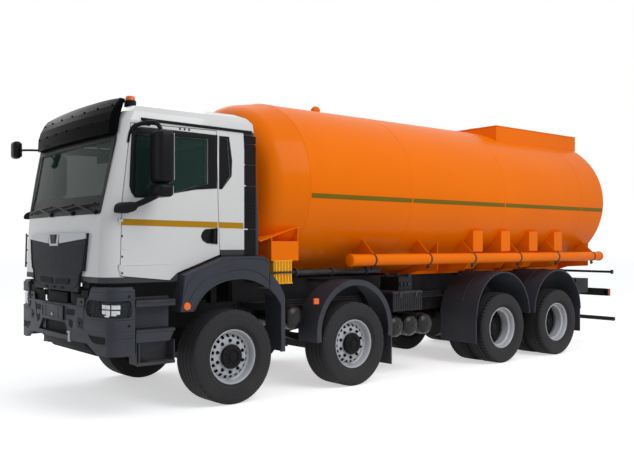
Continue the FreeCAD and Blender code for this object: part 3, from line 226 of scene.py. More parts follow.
def make_paint(name, slot, color, roughness=0.22, coat=0.7, shade=0.93, shine=0.35):
    """Sprayed body paint: slow colour drift, fine orange peel and a clear coat."""
    paint = Finish(name, slot, color, roughness, coat=coat)
    drift = paint.noise(0.7, 4.0).fade(0.3, 0.7)
    paint.set("Base Color", paint.mix(drift, [shade * part for part in color], color))
    paint.set("Roughness", roughness + paint.noise(14.0, 4.0) * 0.08)
    paint.set("Specular IOR Level", shine)
    paint.set("Coat Roughness", 0.05)
    paint.bump(paint.noise(160.0, 2.0), 0.0005, 0.06)
    return paint


def make_moulded(name, slot, color, roughness=0.5, grain=900.0, dusty=0.12, shine=0.3):
    """Moulded plastic with a fine leather grain."""
    plastic = Finish(name, slot, color, roughness)
    drift = plastic.noise(1.6, 5.0).fade(0.3, 0.7)
    base = plastic.mix(drift, [0.85 * part for part in color], [1.12 * part for part in color])
    plastic.set("Base Color", dust(plastic, base, amount=dusty) if dusty else base)
    plastic.set("Roughness", roughness - 0.06 + plastic.noise(9.0, 4.0) * 0.12)
    plastic.set("Specular IOR Level", shine)
    plastic.bump(plastic.cells(grain), 0.0004, 0.25)
    return plastic


def make_steelwork(name, slot, color, roughness=0.42, dusty=0.12, shine=0.22):
    """Chassis black: brushed-on paint over castings and pressed steel, dusty low down."""
    steel = Finish(name, slot, color, roughness)
    mottled = steel.noise(6.0, 6.0).fade(0.35, 0.7)
    base = steel.mix(mottled, color, [1.9 * part for part in color])
    steel.set("Base Color", dust(steel, base, amount=dusty))
    steel.set("Roughness", roughness + steel.noise(22.0, 5.0) * 0.2)
    steel.set("Specular IOR Level", shine)
    steel.bump(steel.noise(90.0, 4.0), 0.0009, 0.3)
    return steel


WHITE = make_paint("white_body_paint", "white_paint", (0.64, 0.635, 0.625), 0.3)
ORANGE = make_paint("orange_tank_paint", "orange_paint", (0.88, 0.172, 0.0), 0.3, 0.05, 0.93, 0.05)
GREY = make_moulded("dark_grey_plastic", "dark_grey_paint", (0.036, 0.039, 0.05), shine=0.2)
BLACK = make_steelwork("chassis_black", "black_paint", (0.008, 0.008, 0.01))
GLOSS_BLACK = make_moulded("smooth_black_plastic", "black_plastic", (0.006, 0.006, 0.007), 0.35, 500.0, 0, 0.1)
AMBER = make_moulded("amber_lens", "amber_plastic", (0.9, 0.16, 0.015), 0.2, 700.0, 0)
YELLOW = make_moulded("yellow_chock_plastic", "yellow_plastic", (0.85, 0.42, 0.015), 0.45, 700.0, 0.1)
TRIM = make_moulded("cab_trim_plastic", "trim_plastic", (0.035, 0.035, 0.04), 0.6, 800.0, 0)
RIM = make_paint("silver_rim_paint", "steel_rim", (0.46, 0.47, 0.49), 0.36, 0.3, 0.85)
CAST = make_steelwork("cast_steel", "cast_steel", (0.022, 0.022, 0.025))
# Black of the hubs; the driven wheels' discs wear it too, as painted shade over their real silver.
HUB_BLACK_AND_DISC_SHADE = make_steelwork("hub_black", "cast_steel", (0.004, 0.004, 0.005), 0.4, 0.03, 0.1)
GOLD = make_paint("gold_stripe", "white_paint", (0.42, 0.21, 0.008), 0.4, 0.0, shine=0.1)
OLIVE = make_paint("olive_stripe", "orange_paint", (0.17, 0.12, 0.006), 0.4, 0.0, shine=0.1)
SEAM = make_moulded("panel_gap_rubber", "black_plastic", (0.012, 0.012, 0.013), 0.7, 900.0, 0, 0.1)
CHROME = Finish("lamp_reflector", "lamp_plastic", (0.8, 0.81, 0.83), 0.12, metallic=1.0)
CHROME.set("Roughness", 0.08 + CHROME.noise(40.0, 3.0) * 0.12)
SILVER = make_paint("silver_trim", "lamp_plastic", (0.5, 0.51, 0.53), 0.3, 0.5)
RED = make_moulded("red_lens", "lamp_plastic", (0.5, 0.012, 0.012), 0.2, 700.0, 0)
SMOKE = make_moulded("smoked_visor_sheet", "black_plastic", (0.004, 0.004, 0.005), 0.18, 60.0, 0, 0.008)


def make_rubber():
    """Dark tyre rubber, browner in worn patches and dusty low down."""
    fresh, worn = (0.026, 0.0255, 0.028), (0.024, 0.023, 0.024)
    rubber = Finish("tyre_black", "tyre_rubber", fresh, 0.72)
    base = rubber.mix(rubber.noise(5.0, 6.0).fade(0.3, 0.75), fresh, worn)
    rubber.set("Base Color", dust(rubber, base, (0.12, 0.11, 0.1), 0.0, 0.4, 0.25))
    rubber.set("Specular IOR Level", 0.2)
    rubber.bump(rubber.noise(240.0, 3.0), 0.0006, 0.4)
    return rubber


def make_glass(name, slot, color, alpha):
    """Tinted sheet glass: mostly reflection and a dark view through."""
    glass = Finish(name, slot, color, 0.03)
    glass.set("Base Color", glass.mix(glass.noise(3.0).fade(0.3, 0.7), color, [1.1 * part for part in color]))
    glass.set("Alpha", alpha)
    glass.set("Specular IOR Level", 0.1)
    glass.material.surface_render_method = "BLENDED"
    return glass


def make_fabric():
    """Woven seat cloth."""
    cloth = Finish("seat_cloth", "seat_fabric", (0.06, 0.06, 0.07), 0.9)
    x, y, z = cloth.axes()
    weave = x.wave(0.006) * y.wave(0.006) + z.wave(0.006) * y.wave(0.006)
    cloth.set("Base Color", cloth.mix(weave.fade(-0.6, 0.8), (0.035, 0.035, 0.042), (0.085, 0.085, 0.095)))
    cloth.bump(weave, 0.0008, 0.5)
    return cloth


RUBBER = make_rubber()
GLASS = make_glass("tinted_glass", "clear_glass", (0.016, 0.04, 0.032), 0.55)
LENS = make_glass("clear_lamp_cover", "lamp_plastic", (0.1, 0.11, 0.12), 0.12)
DARK_GRILLE = make_moulded("grille_plastic", "black_plastic", (0.022, 0.023, 0.028), 0.45, 900.0, 0, 0.05)
TANK_BLACK = make_paint("air_tank_paint", "black_paint", (0.012, 0.012, 0.013), 0.28, 0.15, shine=0.2)
CLOTH = make_fabric()
METAL = Finish("brushed_tank_metal", "aluminium", (0.7, 0.71, 0.72), 0.3, metallic=1.0)
METAL.set("Roughness", 0.28 + METAL.noise(30.0, 5.0, (1, 0.05, 1)) * 0.2)
METAL.bump(METAL.noise(300.0, 3.0, (1, 0.03, 1)), 0.0004, 0.3)

NODE_FINISH = {
    "white_paint": WHITE, "dark_grey_paint": GREY, "black_paint": BLACK, "black_plastic": GLOSS_BLACK,
    "orange_paint": ORANGE, "aluminium": METAL, "clear_glass": GLASS, "lamp_plastic": LENS,
    "amber_plastic": AMBER, "yellow_plastic": YELLOW, "seat_fabric": CLOTH, "trim_plastic": TRIM,
    "steel_rim": RIM, "cast_steel": CAST, "tyre_rubber": RUBBER,
}


def wear(piece, finish):
    """The piece gets this finish all over."""
    piece.data.materials.clear()
    piece.data.materials.append(finish.material)


for part in frame["record"]["subparts"]:
    wear(NODES[part["node"]], NODE_FINISH[part["material_slot"]])
wear(NODES["air_tanks"], TANK_BLACK)
wear(NODES["sun_visor"], SMOKE)
wear(NODES["grille"], DARK_GRILLE)
wear(NODES["cab_floor"], TRIM)


# ---- making pieces ------------------------------------------------------------------------------
# A piece is made at its place, from the first axle; both_sides and mirrored_copy add right-hand twins.
def only(*pieces):
    """Object mode, with nothing but these pieces selected."""
    if bpy.context.object and bpy.context.object.mode == "EDIT":
        bpy.ops.object.mode_set(mode="OBJECT")
    bpy.ops.object.select_all(action="DESELECT")
    for piece in pieces:
        piece.select_set(True)
    if pieces:
        bpy.context.view_layer.objects.active = pieces[0]


def block(x, y, z):
    """Box between a low and a high value on each axis."""
    only()
    middle = at(*(sum(span) / 2 for span in (x, y, z)))
    bpy.ops.mesh.primitive_cube_add(size=1, location=middle, scale=[span[1] - span[0] for span in (x, y, z)])
    bpy.ops.object.transform_apply()
    return bpy.context.object


def drum(start, end, radius, sides):
    """Round bar between two points."""
    only()
    start, end = at(*start), at(*end)
    along = end - start
    bpy.ops.mesh.primitive_cone_add(vertices=sides, radius1=radius, radius2=radius, depth=along.length,
                                    location=(start + end) / 2, rotation=along.to_track_quat("Z", "Y").to_euler())
    bpy.ops.object.transform_apply()
    return bpy.context.object


def thread(points, closed=True):
    """Edges through the points."""
    only()
    bpy.ops.mesh.primitive_circle_add(vertices=len(points))
    piece = bpy.context.object
    for vertex, point in zip(piece.data.vertices, points):
        vertex.co = point
    if not closed:
        last = {0, len(points) - 1}
        pick(piece, "edges", lambda edge: set(edge.vertices) == last)
        bpy.ops.mesh.delete(type="EDGE")
        only(piece)
    return piece


def pick(piece, kind, wanted):
    """Edit mode, with the points, edges or faces chosen that are wanted."""
    only(piece)
    modes = {"points": "VERT", "edges": "EDGE", "faces": "FACE"}
    bpy.ops.object.mode_set(mode="EDIT")
    bpy.ops.mesh.select_mode(type=modes[kind])
    bpy.ops.mesh.select_all(action="DESELECT")
    bpy.ops.object.mode_set(mode="OBJECT")
    items = {"points": piece.data.vertices, "edges": piece.data.edges, "faces": piece.data.polygons}[kind]
    for item in items:
        item.select = bool(wanted(item))
    bpy.ops.object.mode_set(mode="EDIT")


def pick_all(piece):
    """Edit mode, with the whole piece chosen."""
    only(piece)
    bpy.ops.object.mode_set(mode="EDIT")
    bpy.ops.mesh.select_all(action="SELECT")


def tidy_faces(piece):
    """Doubles merged, then faces turned outward."""
    pick_all(piece)
    bpy.ops.mesh.remove_doubles(threshold=0.00002)
    bpy.ops.mesh.normals_make_consistent(inside=False)
    only(piece)


def turned(profile, centre, steps=64, axis="X", closed=True):
    """Outline in (along, radius) spun round the axis through centre."""
    along, out = {"X": ((1, 0, 0), (0, 0, 1)), "Y": ((0, 1, 0), (0, 0, 1)), "Z": ((0, 0, 1), (1, 0, 0))}[axis]
    middle = at(*centre)
    piece = thread([middle + Vector(along) * a + Vector(out) * r for a, r in profile], closed)
    pick_all(piece)
    bpy.ops.mesh.spin(steps=steps, angle=2 * math.pi, center=middle, axis=along)
    tidy_faces(piece)
    return piece


def plate(points, push):
    """Flat outline through the points, extruded by push."""
    piece = thread([at(*point) for point in points])
    pick_all(piece)
    bpy.ops.mesh.edge_face_add()
    bpy.ops.mesh.extrude_region_move(TRANSFORM_OT_translate={"value": push})
    tidy_faces(piece)
    return piece


def frame_plate(points, width, push):
    """Flat ring inside an outline, extruded by push."""
    piece = thread([at(*point) for point in points])
    pick_all(piece)
    bpy.ops.mesh.edge_face_add()
    bpy.ops.mesh.inset(thickness=width)
    bpy.ops.mesh.delete(type="FACE")
    bpy.ops.mesh.select_all(action="SELECT")
    bpy.ops.mesh.extrude_region_move(TRANSFORM_OT_translate={"value": push})
    tidy_faces(piece)
    return piece


def skin(place, columns, rows, thick):
    """Grid laid on a surface by place(u, v), given a thickness outward."""
    only()
    bpy.ops.mesh.primitive_grid_add(x_subdivisions=columns, y_subdivisions=rows, size=2)
    piece = bpy.context.object
    for vertex in piece.data.vertices:
        vertex.co = at(*place((vertex.co.x + 1) / 2, (vertex.co.y + 1) / 2))
    add_modifier(piece, "SOLIDIFY", thickness=thick, offset=0)
    tidy_faces(piece)
    return piece


def pipe(points, radius, sides=3, turns=6):
    """Bent tube along a smooth line near the points."""
    only()
    bpy.ops.curve.primitive_nurbs_path_add()
    piece = bpy.context.object
    piece.location = (0, 0, 0)
    piece.data.splines.clear()
    line = piece.data.splines.new("NURBS")
    line.points.add(len(points) - 1)
    for point, place in zip(line.points, points):
        point.co = (*at(*place), 1)
    line.order_u = 3
    line.use_endpoint_u = True
    line.resolution_u = turns
    piece.data.bevel_depth = radius
    piece.data.bevel_resolution = sides
    piece.data.use_fill_caps = True
    only(piece)
    bpy.ops.object.convert(target="MESH")
    piece = bpy.context.object
    tidy_faces(piece)
    return piece


def add_modifier(piece, kind, **settings):
    """One modifier, applied at once."""
    only(piece)
    bpy.ops.object.modifier_add(type=kind)
    modifier = piece.modifiers[-1]
    for key, setting in settings.items():
        setattr(modifier, key, setting)
    bpy.ops.object.modifier_apply(modifier=modifier.name)
    return piece


def soften(piece, width, segments=2, angle=30):
    """Rounded edges."""
    return add_modifier(piece, "BEVEL", width=width, segments=segments, limit_method="ANGLE",
                        angle_limit=math.radians(angle))


def slab(x, y, z, width, segments=2):
    """Box with rounded edges."""
    return soften(block(x, y, z), width, segments)


def peg(start, end, radius, sides, width, segments=2):
    """Round bar with rounded edges."""
    return soften(drum(start, end, radius, sides), width, segments)


def remove(*pieces):
    """The pieces are taken out of the scene."""
    only(*pieces)
    bpy.ops.object.delete()


def cut(piece, *tools):
    """Piece without the space that the tools take up."""
    for tool in tools:
        add_modifier(piece, "BOOLEAN", operation="DIFFERENCE", object=tool, solver="EXACT")
        remove(tool)
    return piece


def row(piece, count, step):
    """The piece repeated in a straight line."""
    return add_modifier(piece, "ARRAY", count=count, use_relative_offset=False, use_constant_offset=True,
                        constant_offset_displace=step)


def ring(piece, count, centre, axis="X"):
    """The piece repeated evenly round the axis through centre."""
    pick_all(piece)
    bpy.ops.mesh.spin(steps=count - 1, dupli=True, angle=2 * math.pi * (count - 1) / count, center=at(*centre),
                      axis={"X": (1, 0, 0), "Y": (0, 1, 0), "Z": (0, 0, 1)}[axis])
    only(piece)
    return piece


def both_sides(piece):
    """The piece with its mirror image across the middle, as one."""
    return add_modifier(piece, "MIRROR", use_mirror_merge=False)


def joined(*pieces):
    """Several pieces as one."""
    only(*pieces)
    if len(pieces) > 1:
        bpy.ops.object.join()
    return bpy.context.object


def copied(piece, shift=(0, 0, 0)):
    """A copy with its own mesh, moved by shift."""
    only(piece)
    bpy.ops.object.duplicate()
    twin = bpy.context.object
    twin.location = shift
    bpy.ops.object.transform_apply()
    return twin


def mirrored_copy(piece, about=0):
    """The mirrored twin across the plane x = about, as a piece of its own."""
    twin = copied(piece)
    twin.location.x = 2 * about
    twin.scale.x = -1
    bpy.ops.object.transform_apply()
    tidy_faces(twin)
    return twin


def fit(piece, name, body, finish, angle=35, instead=()):
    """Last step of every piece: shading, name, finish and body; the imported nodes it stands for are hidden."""
    only(piece)
    bpy.ops.object.transform_apply()
    bpy.ops.object.shade_smooth_by_angle(angle=math.radians(angle))
    piece.name = name
    wear(piece, finish)
    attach(piece, body)
    if instead:
        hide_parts(*instead)
    return piece


def fit_both(name, finish, *pieces, body="chassis"):
    """The pieces and their mirror images as one piece, on the chassis unless body says otherwise."""
    return fit(both_sides(joined(*pieces)), name, body, finish)


# ---- wheels -------------------------------------------------------------------------------------
AXLE_Y = (0, 1.795, 4.775, 6.175)
WHEEL_R, SHOULDER_R = 0.515, 0.488
STEER_X, TWIN_X = 1.058, (0.748, 1.093)
TWIN_MID = (TWIN_X[0] + TWIN_X[1]) / 2


def tyre_section(half, bead, tread, grooves, groove_w, depth):
    """Closed section of a tyre in (across, radius), with its grooves in the tread."""
    side = [(bead, 0.286), (bead, 0.2995), (bead + 0.006, 0.303), (bead + 0.012, 0.318), (half - 0.009, 0.336),
            (half - 0.002, 0.352), (half - 0.005, 0.356), (half, 0.385), (half, 0.412), (half - 0.003, 0.44),
            (half - 0.001, 0.444), (half - 0.006, 0.478), (half - 0.012, 0.494), (half - 0.022, 0.506),
            (tread, 0.5135)]
    crown = []
    for place in sorted(grooves, reverse=True):
        edge, floor = place + groove_w / 2, WHEEL_R - depth
        crown += [(edge, WHEEL_R), (edge - 0.002, floor), (edge - groove_w + 0.002, floor),
                  (edge - groove_w, WHEEL_R)]
    return side + crown + [(-a, r) for a, r in reversed(side)]


def round_axle(face, centre):
    """A face's distance across from centre, its radius and its angle in degrees."""
    x, y, z = face.center - at(*centre)
    return abs(x), math.hypot(y, z), math.degrees(math.atan2(z, y)) % 360


def make_tyre(centre, section, steps, tread, notch, every, reach):
    """Tyre turned from its section; notches are pressed into the shoulders between the lugs."""
    tyre = turned(section, centre, steps)

    def in_notch(face):
        across, radius, turn = round_axle(face, centre)
        return int(turn * steps / 360 + 0.25) % every == 0 and tread - reach < across and radius > SHOULDER_R
    pick(tyre, "faces", in_notch)
    bpy.ops.mesh.extrude_region_shrink_fatten(TRANSFORM_OT_shrink_fatten={"value": -notch})
    only(tyre)
    return tyre


STEER_SECTION = tyre_section(0.1925, 0.1485, 0.166, (-0.108, -0.038, 0.038, 0.108), 0.011, 0.012)
DRIVE_SECTION = tyre_section(0.1575, 0.114, 0.129, (-0.072, -0.024, 0.024, 0.072), 0.012, 0.013)


def make_nuts(centre, circle, face):
    """Ring of wheel nuts, each with its washer and stud end."""
    count, size, height = 10, 0.016, 0.022
    x, y, z = centre
    foot = (x + face, y, z + circle)
    washer = drum(foot, (x + face + 0.004, y, z + circle), size * 1.25, 16)
    nut = peg(foot, (x + face + height, y, z + circle), size, 6, 0.0025, 1)
    stud = peg(foot, (x + face + height * 1.5, y, z + circle), size * 0.5, 10, 0.002, 1)
    return ring(joined(nut, washer, stud), count, centre)


def make_barrel(centre, half, well):
    """Rolled rim: flanges, bead seats and the well, as a closed section."""
    lip, wall = 0.012, 0.009
    flange, seat = 0.2985, 0.2857
    outside = [(-half - lip, flange - 0.004), (-half - lip + 0.003, flange), (-half, flange - 0.001), (-half, seat),
               (-well, seat - 0.004), (-well + 0.018, seat - 0.032)]
    inside = [(-half - lip, flange - 0.01), (-half - 0.006, flange - wall - 0.006), (-half + 0.004, seat - wall),
              (-well - 0.004, seat - wall - 0.006), (-well + 0.014, seat - wall - 0.032)]
    mirrored = [(-a, r) for a, r in reversed(outside)]
    below = [(-a, r) for a, r in inside] + [(a, r) for a, r in reversed(inside)]
    return turned(outside + mirrored + below, centre, 80)


def make_disc(centre, profile, slots, zone, wall):
    """Dished disc with a ring of hand holes between the radii in zone."""
    steps = slots * 4
    disc = turned(profile, centre, steps, closed=False)

    def in_hole(face):
        _, radius, turn = round_axle(face, centre)
        return zone[0] < radius < zone[1] and int(turn * steps / 360) % 4 in (0, 1)
    pick(disc, "faces", in_hole)
    bpy.ops.mesh.delete(type="FACE")
    only(disc)
    add_modifier(disc, "SOLIDIFY", thickness=wall, offset=0)
    return soften(disc, 0.0022, 2, 40)


def make_steer_rim(centre):
    """Rim of a steered wheel: barrel, disc with hand holes, and valve."""
    barrel = make_barrel(centre, 0.149, 0.07)
    disc = make_disc(centre, [(0.094, 0.108), (0.094, 0.15), (0.094, 0.196), (0.09, 0.208), (0.08, 0.222),
                              (0.066, 0.244), (0.061, 0.254), (0.062, 0.262), (0.07, 0.272)], 20, (0.205, 0.246),
                     0.009)
    valve = peg((centre[0] + 0.075, centre[1], centre[2] - 0.238), (centre[0] + 0.128, centre[1], centre[2] - 0.262),
                0.006, 10, 0.0015, 1)
    return joined(barrel, disc, valve)


def make_steer_hub(centre):
    """Black hub of a steered wheel: brake drum, stepped hub, bolted cover, cap and wheel nuts."""
    drum_part = turned([(-0.045, 0.0), (-0.045, 0.236), (0.05, 0.236), (0.054, 0.23), (0.054, 0.126), (0.1, 0.124),
                        (0.104, 0.12), (0.104, 0.117), (0.13, 0.134), (0.148, 0.126), (0.152, 0.112), (0.154, 0.072),
                        (0.146, 0.066), (0.148, 0.05), (0.158, 0.046), (0.162, 0.038), (0.162, 0.0)], centre, 64,
                       closed=False)
    x, y, z = centre
    bolt = peg((x + 0.15, y, z + 0.086), (x + 0.162, y, z + 0.086), 0.009, 6, 0.0015, 1)
    return joined(drum_part, ring(bolt, 10, centre), make_nuts(centre, 0.1725, 0.098))


def make_twin_rims(y):
    """The two barrels of a driven pair, and the painted edge of the disc between them."""
    barrels = [make_barrel((x, y, WHEEL_R), 0.1145, 0.062) for x in TWIN_X]
    lip = turned([(0.02, 0.244), (0.046, 0.25), (0.066, 0.268), (0.066, 0.276), (0.056, 0.276), (0.04, 0.258),
                  (0.016, 0.252)], (TWIN_MID, y, WHEEL_R), 80)
    return joined(*barrels, lip)


def make_twin_hub_and_shaded_discs(y):
    """Black hub deep inside a pair of driven wheels, with both discs in the same black as painted shade, though the
    real discs are silver.
    """
    centre = (TWIN_MID, y, WHEEL_R)
    # Both discs join the hub piece and take its black: painted shade, as the real discs are silver like the barrels.
    outer = make_disc(centre, [(0.007, 0.122), (0.007, 0.17), (0.007, 0.204), (0.016, 0.216), (0.036, 0.236),
                               (0.048, 0.246), (0.06, 0.262), (0.066, 0.279)], 10, (0.21, 0.24), 0.011)
    inner = mirrored_copy(outer, centre[0])
    body = turned([(-0.21, 0.0), (-0.21, 0.19), (-0.08, 0.19), (-0.014, 0.15), (0.014, 0.15), (0.04, 0.128),
                   (0.06, 0.124), (0.13, 0.12), (0.148, 0.113), (0.152, 0.106), (0.154, 0.08), (0.146, 0.074),
                   (0.147, 0.056), (0.158, 0.05), (0.165, 0.04), (0.165, 0.0)], centre, 64, closed=False)
    x, y, z = centre
    bolt = peg((x + 0.15, y, z + 0.093), (x + 0.163, y, z + 0.093), 0.009, 6, 0.0015, 1)
    return joined(body, outer, inner, make_nuts(centre, 0.1675, 0.014), ring(bolt, 12, centre))


def make_wheels():
    """One steered and one driven wheel are made, then copied to every axle and side."""
    steer = (STEER_X, 0, WHEEL_R)
    steered = {
        "tread": (make_tyre(steer, STEER_SECTION, 108, 0.166, 0.004, 3, 0.01), RUBBER, "tyre"),
        "rim_detail": (make_steer_rim(steer), RIM, "rim"),
        "hub": (make_steer_hub(steer), HUB_BLACK_AND_DISC_SHADE, None),
    }
    drive_y = AXLE_Y[2]
    tyres = [make_tyre((x, drive_y, WHEEL_R), DRIVE_SECTION, 120, 0.129, 0.012, 2, 0.04) for x in TWIN_X]
    driven = {
        "tread": (joined(*tyres), RUBBER, "tyre"),
        "rim_detail": (make_twin_rims(drive_y), RIM, "rim"),
        "hub": (make_twin_hub_and_shaded_discs(drive_y), HUB_BLACK_AND_DISC_SHADE, None),
    }
    for number, y in enumerate(AXLE_Y, start=1):
        pieces, start = (steered, 0) if number <= 2 else (driven, drive_y)
        for kind, (piece, finish, stands_for) in pieces.items():
            left = copied(piece, (0, y - start, 0))
            right = mirrored_copy(left)
            for side, wheel in (("left", left), ("right", right)):
                nodes = [f"{stands_for}_{number}_{side}"] if stands_for else []
                fit(wheel, f"{kind}_{number}_{side}", f"wheel_{number}_{side}", finish, 30, nodes)
    remove(*(piece for piece, _, _ in (*steered.values(), *driven.values())))


make_wheels()

# ---- cab front ----------------------------------------------------------------------------------
CAB_SIDE_X = 1.12
# height, then y on the middle line, at the edge of the flat and on the corner
CAB_ROWS = ((1.35, -1.505, -1.478, -1.306), (1.87, -1.5, -1.457, -1.29), (2.065, -1.482, -1.44, -1.28),
            (2.8, -1.345, -1.3, -1.2), (2.99, -1.305, -1.262, -1.175), (3.085, -1.262, -1.215, -1.13))


def at_height(rows, z):
    """Values between the rows of a table, whose first column is the height."""
    low, high = next(pair for pair in zip(rows, rows[1:]) if z <= pair[1][0] or pair[1] is rows[-1])
    share = (z - low[0]) / (high[0] - low[0])
    return [a + (b - a) * share for a, b in zip(low[1:], high[1:])]


def cab_front(x, z, proud=0.0):
    """Place on the cab's front, moved forward by proud."""
    nose, face, side = at_height(CAB_ROWS, z)
    reach = abs(x)
    if reach <= 1.0:
        return (x, nose + (face - nose) * reach ** 2 - proud, z)
    turn = (reach - 1.0) / 0.12
    return (x, face + (side - face) * max(0, 1.358 * turn ** 2 - 0.358 * turn) - proud, z)


def blend_corners(corners, u, v):
    """Point of a four-sided patch whose corners go low left, low right, high right, high left."""
    a, b, c, d = corners
    return [(1 - v) * ((1 - u) * p + u * q) + v * ((1 - u) * s + u * r) for p, q, r, s in zip(a, b, c, d)]


def oblong(left, low, right, high):
    """Corners of an upright rectangle, for a patch."""
    return [(left, low), (right, low), (right, high), (left, high)]


def front_patch(corners, thick=0.006, proud=0.004, columns=24, rows=3):
    """Panel that lies on the cab's front; corners are (x, z)."""
    return skin(lambda u, v: cab_front(*blend_corners(corners, u, v), proud), columns, rows, thick)


def make_screen_surround():
    """Black rubber and printed border round the windscreen."""
    wide, low, high = 1.048, 2.043, 2.868
    pane_x, pane_low, pane_high = 0.981, 2.079, 2.786
    top = front_patch([(-wide, pane_high), (wide, pane_high), (wide - 0.01, high), (-wide + 0.01, high)], columns=40)
    bottom = front_patch([(-0.975, low), (0.975, low), (1.0, pane_low), (-1.0, pane_low)], columns=40)
    left = front_patch([(pane_x - 0.012, low + 0.01), (1.0, low + 0.01), (wide, pane_high), (pane_x, pane_high)],
                       columns=6, rows=12)
    fit(joined(top, bottom, both_sides(left)), "screen_surround", "cab", GLOSS_BLACK)


def make_screen_border():
    """Dark lower band of the pane, behind the wipers."""
    fit(front_patch([(-0.972, 2.082), (0.972, 2.082), (0.975, 2.235), (-0.975, 2.235)], 0.003, -0.012, 40),
        "screen_band", "cab", GLOSS_BLACK)


def make_wiper(pivot, tip, blade):
    """Arm, blade and spindle of one wiper."""
    spindle = turned([(-0.012, 0), (-0.012, 0.026), (0.01, 0.024), (0.02, 0.014), (0.022, 0)],
                     cab_front(*pivot, 0.012), 24, "Y", closed=False)
    arm = pipe([cab_front(*pivot, 0.026), cab_front((pivot[0] * 2 + tip[0]) / 3, (pivot[1] * 2 + tip[1]) / 3, 0.034),
                cab_front(*tip, 0.03)], 0.009, 2)
    holder = pipe([cab_front(*blade[0], 0.022), cab_front(*tip, 0.03), cab_front(*blade[1], 0.022)], 0.008, 2)
    edge = front_patch([(blade[0][0], blade[0][1] - 0.006), (blade[1][0], blade[1][1] - 0.006),
                        (blade[1][0], blade[1][1] + 0.006), (blade[0][0], blade[0][1] + 0.006)], 0.01, 0.012, 16, 1)
    return joined(spindle, arm, holder, edge)


def make_wipers():
    """Three wipers lying along the foot of the windscreen."""
    wipers = [make_wiper((x, 2.062), (x - 0.36, 2.14), ((x - 0.72, 2.105), (x - 0.02, 2.155)))
              for x in (-0.18, 0.4, 0.9)]
    fit(joined(*wipers), "wipers", "cab", GLOSS_BLACK)


VISOR_FLAT = 0.98
VISOR_ROWS = ((2.8, -1.403, -1.352), (2.99, -1.392, -1.342), (3.08, -1.362, -1.314), (3.15, -1.322, -1.277),
              (3.205, -1.282, -1.239), (3.29, -1.21, -1.168))


def visor_front(x, z, behind=0.0):
    """Place on the visor's outer face, moved back by behind."""
    nose, face = at_height(VISOR_ROWS, z)
    bow = (face - nose) * min(abs(x), VISOR_FLAT) ** 2 / 0.96
    return (x, nose + bow + max(0, abs(x) - VISOR_FLAT) ** 1.3 * 2.2 + behind, z)


def make_visor_detail():
    """Rolled bar and lip low on the visor, the line along its top, and the clips."""
    bar = pipe([visor_front(x / 10, 2.905, 0.052) for x in range(-10, 11)], 0.036, 4)
    lip = pipe([visor_front(x / 10, 2.862, 0.008) for x in range(-10, 11)], 0.011, 3)
    crest = pipe([visor_front(x / 10, 3.243 - 0.03 * abs(x / 10) ** 4, 0.012) for x in range(-9, 10)], 0.007, 3)
    clips = []
    for x in (-0.92, -0.62, -0.31, 0.0, 0.31, 0.62, 0.92):
        for z in (2.985, 3.15):
            clips.append(turned([(-0.006, 0), (-0.006, 0.01), (0.004, 0.014), (0.012, 0.014), (0.012, 0)],
                                visor_front(x, z, -0.002), 12, "Y", closed=False))
    fit(joined(bar, lip, crest, *clips), "visor_bar", "cab", SMOKE)


def make_inner_mirror():
    """Mirror inside the windscreen, hung from its top."""
    pod = slab((0.2, 0.46), (-1.13, -1.09), (2.62, 2.71), 0.018, 3)
    stem = pipe([(0.33, -1.11, 2.7), (0.33, -1.13, 2.76), (0.33, -1.17, 2.79)], 0.009)
    fit(joined(pod, stem), "inner_mirror", "cab", TRIM)


GRILLE_T = 0.025


def make_grille_trim():
    """Bright strip over the grille, with a bare place in its middle."""
    parts = []
    for sign in (-1, 1):
        ends = [(sign * 0.15, 1.748), (sign * 0.786, 1.796), (sign * 0.78, 1.853), (sign * 0.15, 1.86)]
        parts.append(front_patch(ends if sign > 0 else [ends[1], ends[0], ends[3], ends[2]], 0.012, GRILLE_T + 0.004,
                                 16, 3))
    parts.append(front_patch([(-0.115, 1.722), (0.115, 1.722), (0.15, 1.86), (-0.15, 1.86)], 0.014, GRILLE_T + 0.006,
                             8, 4))
    fit(soften(joined(*parts), 0.003), "grille_strip", "cab", SILVER)


def make_grille_badge():
    """Bare shield-shaped place."""
    piece = front_patch([(-0.06, 1.745), (0.06, 1.745), (0.095, 1.845), (-0.095, 1.845)], 0.01, GRILLE_T + 0.016, 6,
                        4)
    fit(soften(piece, 0.003), "bare_badge_place", "cab", GLOSS_BLACK)


def make_grille_bars():
    """Fine bars across the grille, and its raised rim."""
    bars = []
    for step in range(9):
        z = 1.425 + step * 0.036
        wide = 0.66 + 0.12 * (z - 1.4) / 0.45
        bars.append(front_patch(oblong(-wide, z, wide, z + 0.007), 0.005, GRILLE_T + 0.002, 20, 1))
    outline = [(-0.78, 1.8), (-0.725, 1.475), (-0.652, 1.455), (-0.612, 1.256), (0.612, 1.256), (0.652, 1.455),
               (0.725, 1.475), (0.78, 1.8)]
    rim = pipe([cab_front(x, z, GRILLE_T + 0.001) for x, z in outline], 0.009, 2)
    fit(joined(*bars, rim), "grille_bars", "cab", DARK_GRILLE)


def make_grille_openings():
    """Black openings low in the grille."""
    quads = [[(-0.385, 1.318), (-0.045, 1.312), (-0.06, 1.372), (-0.425, 1.378)],
             [(0.045, 1.312), (0.385, 1.318), (0.425, 1.378), (0.06, 1.372)]]
    quads += [[(x - 0.035, 1.266), (x + 0.035, 1.266), (x + 0.03, 1.288), (x - 0.03, 1.288)]
              for x in (-0.22, 0.0, 0.22)]
    fit(joined(*[front_patch(quad, 0.006, GRILLE_T + 0.005, 8, 2) for quad in quads]), "grille_openings", "cab", SEAM)


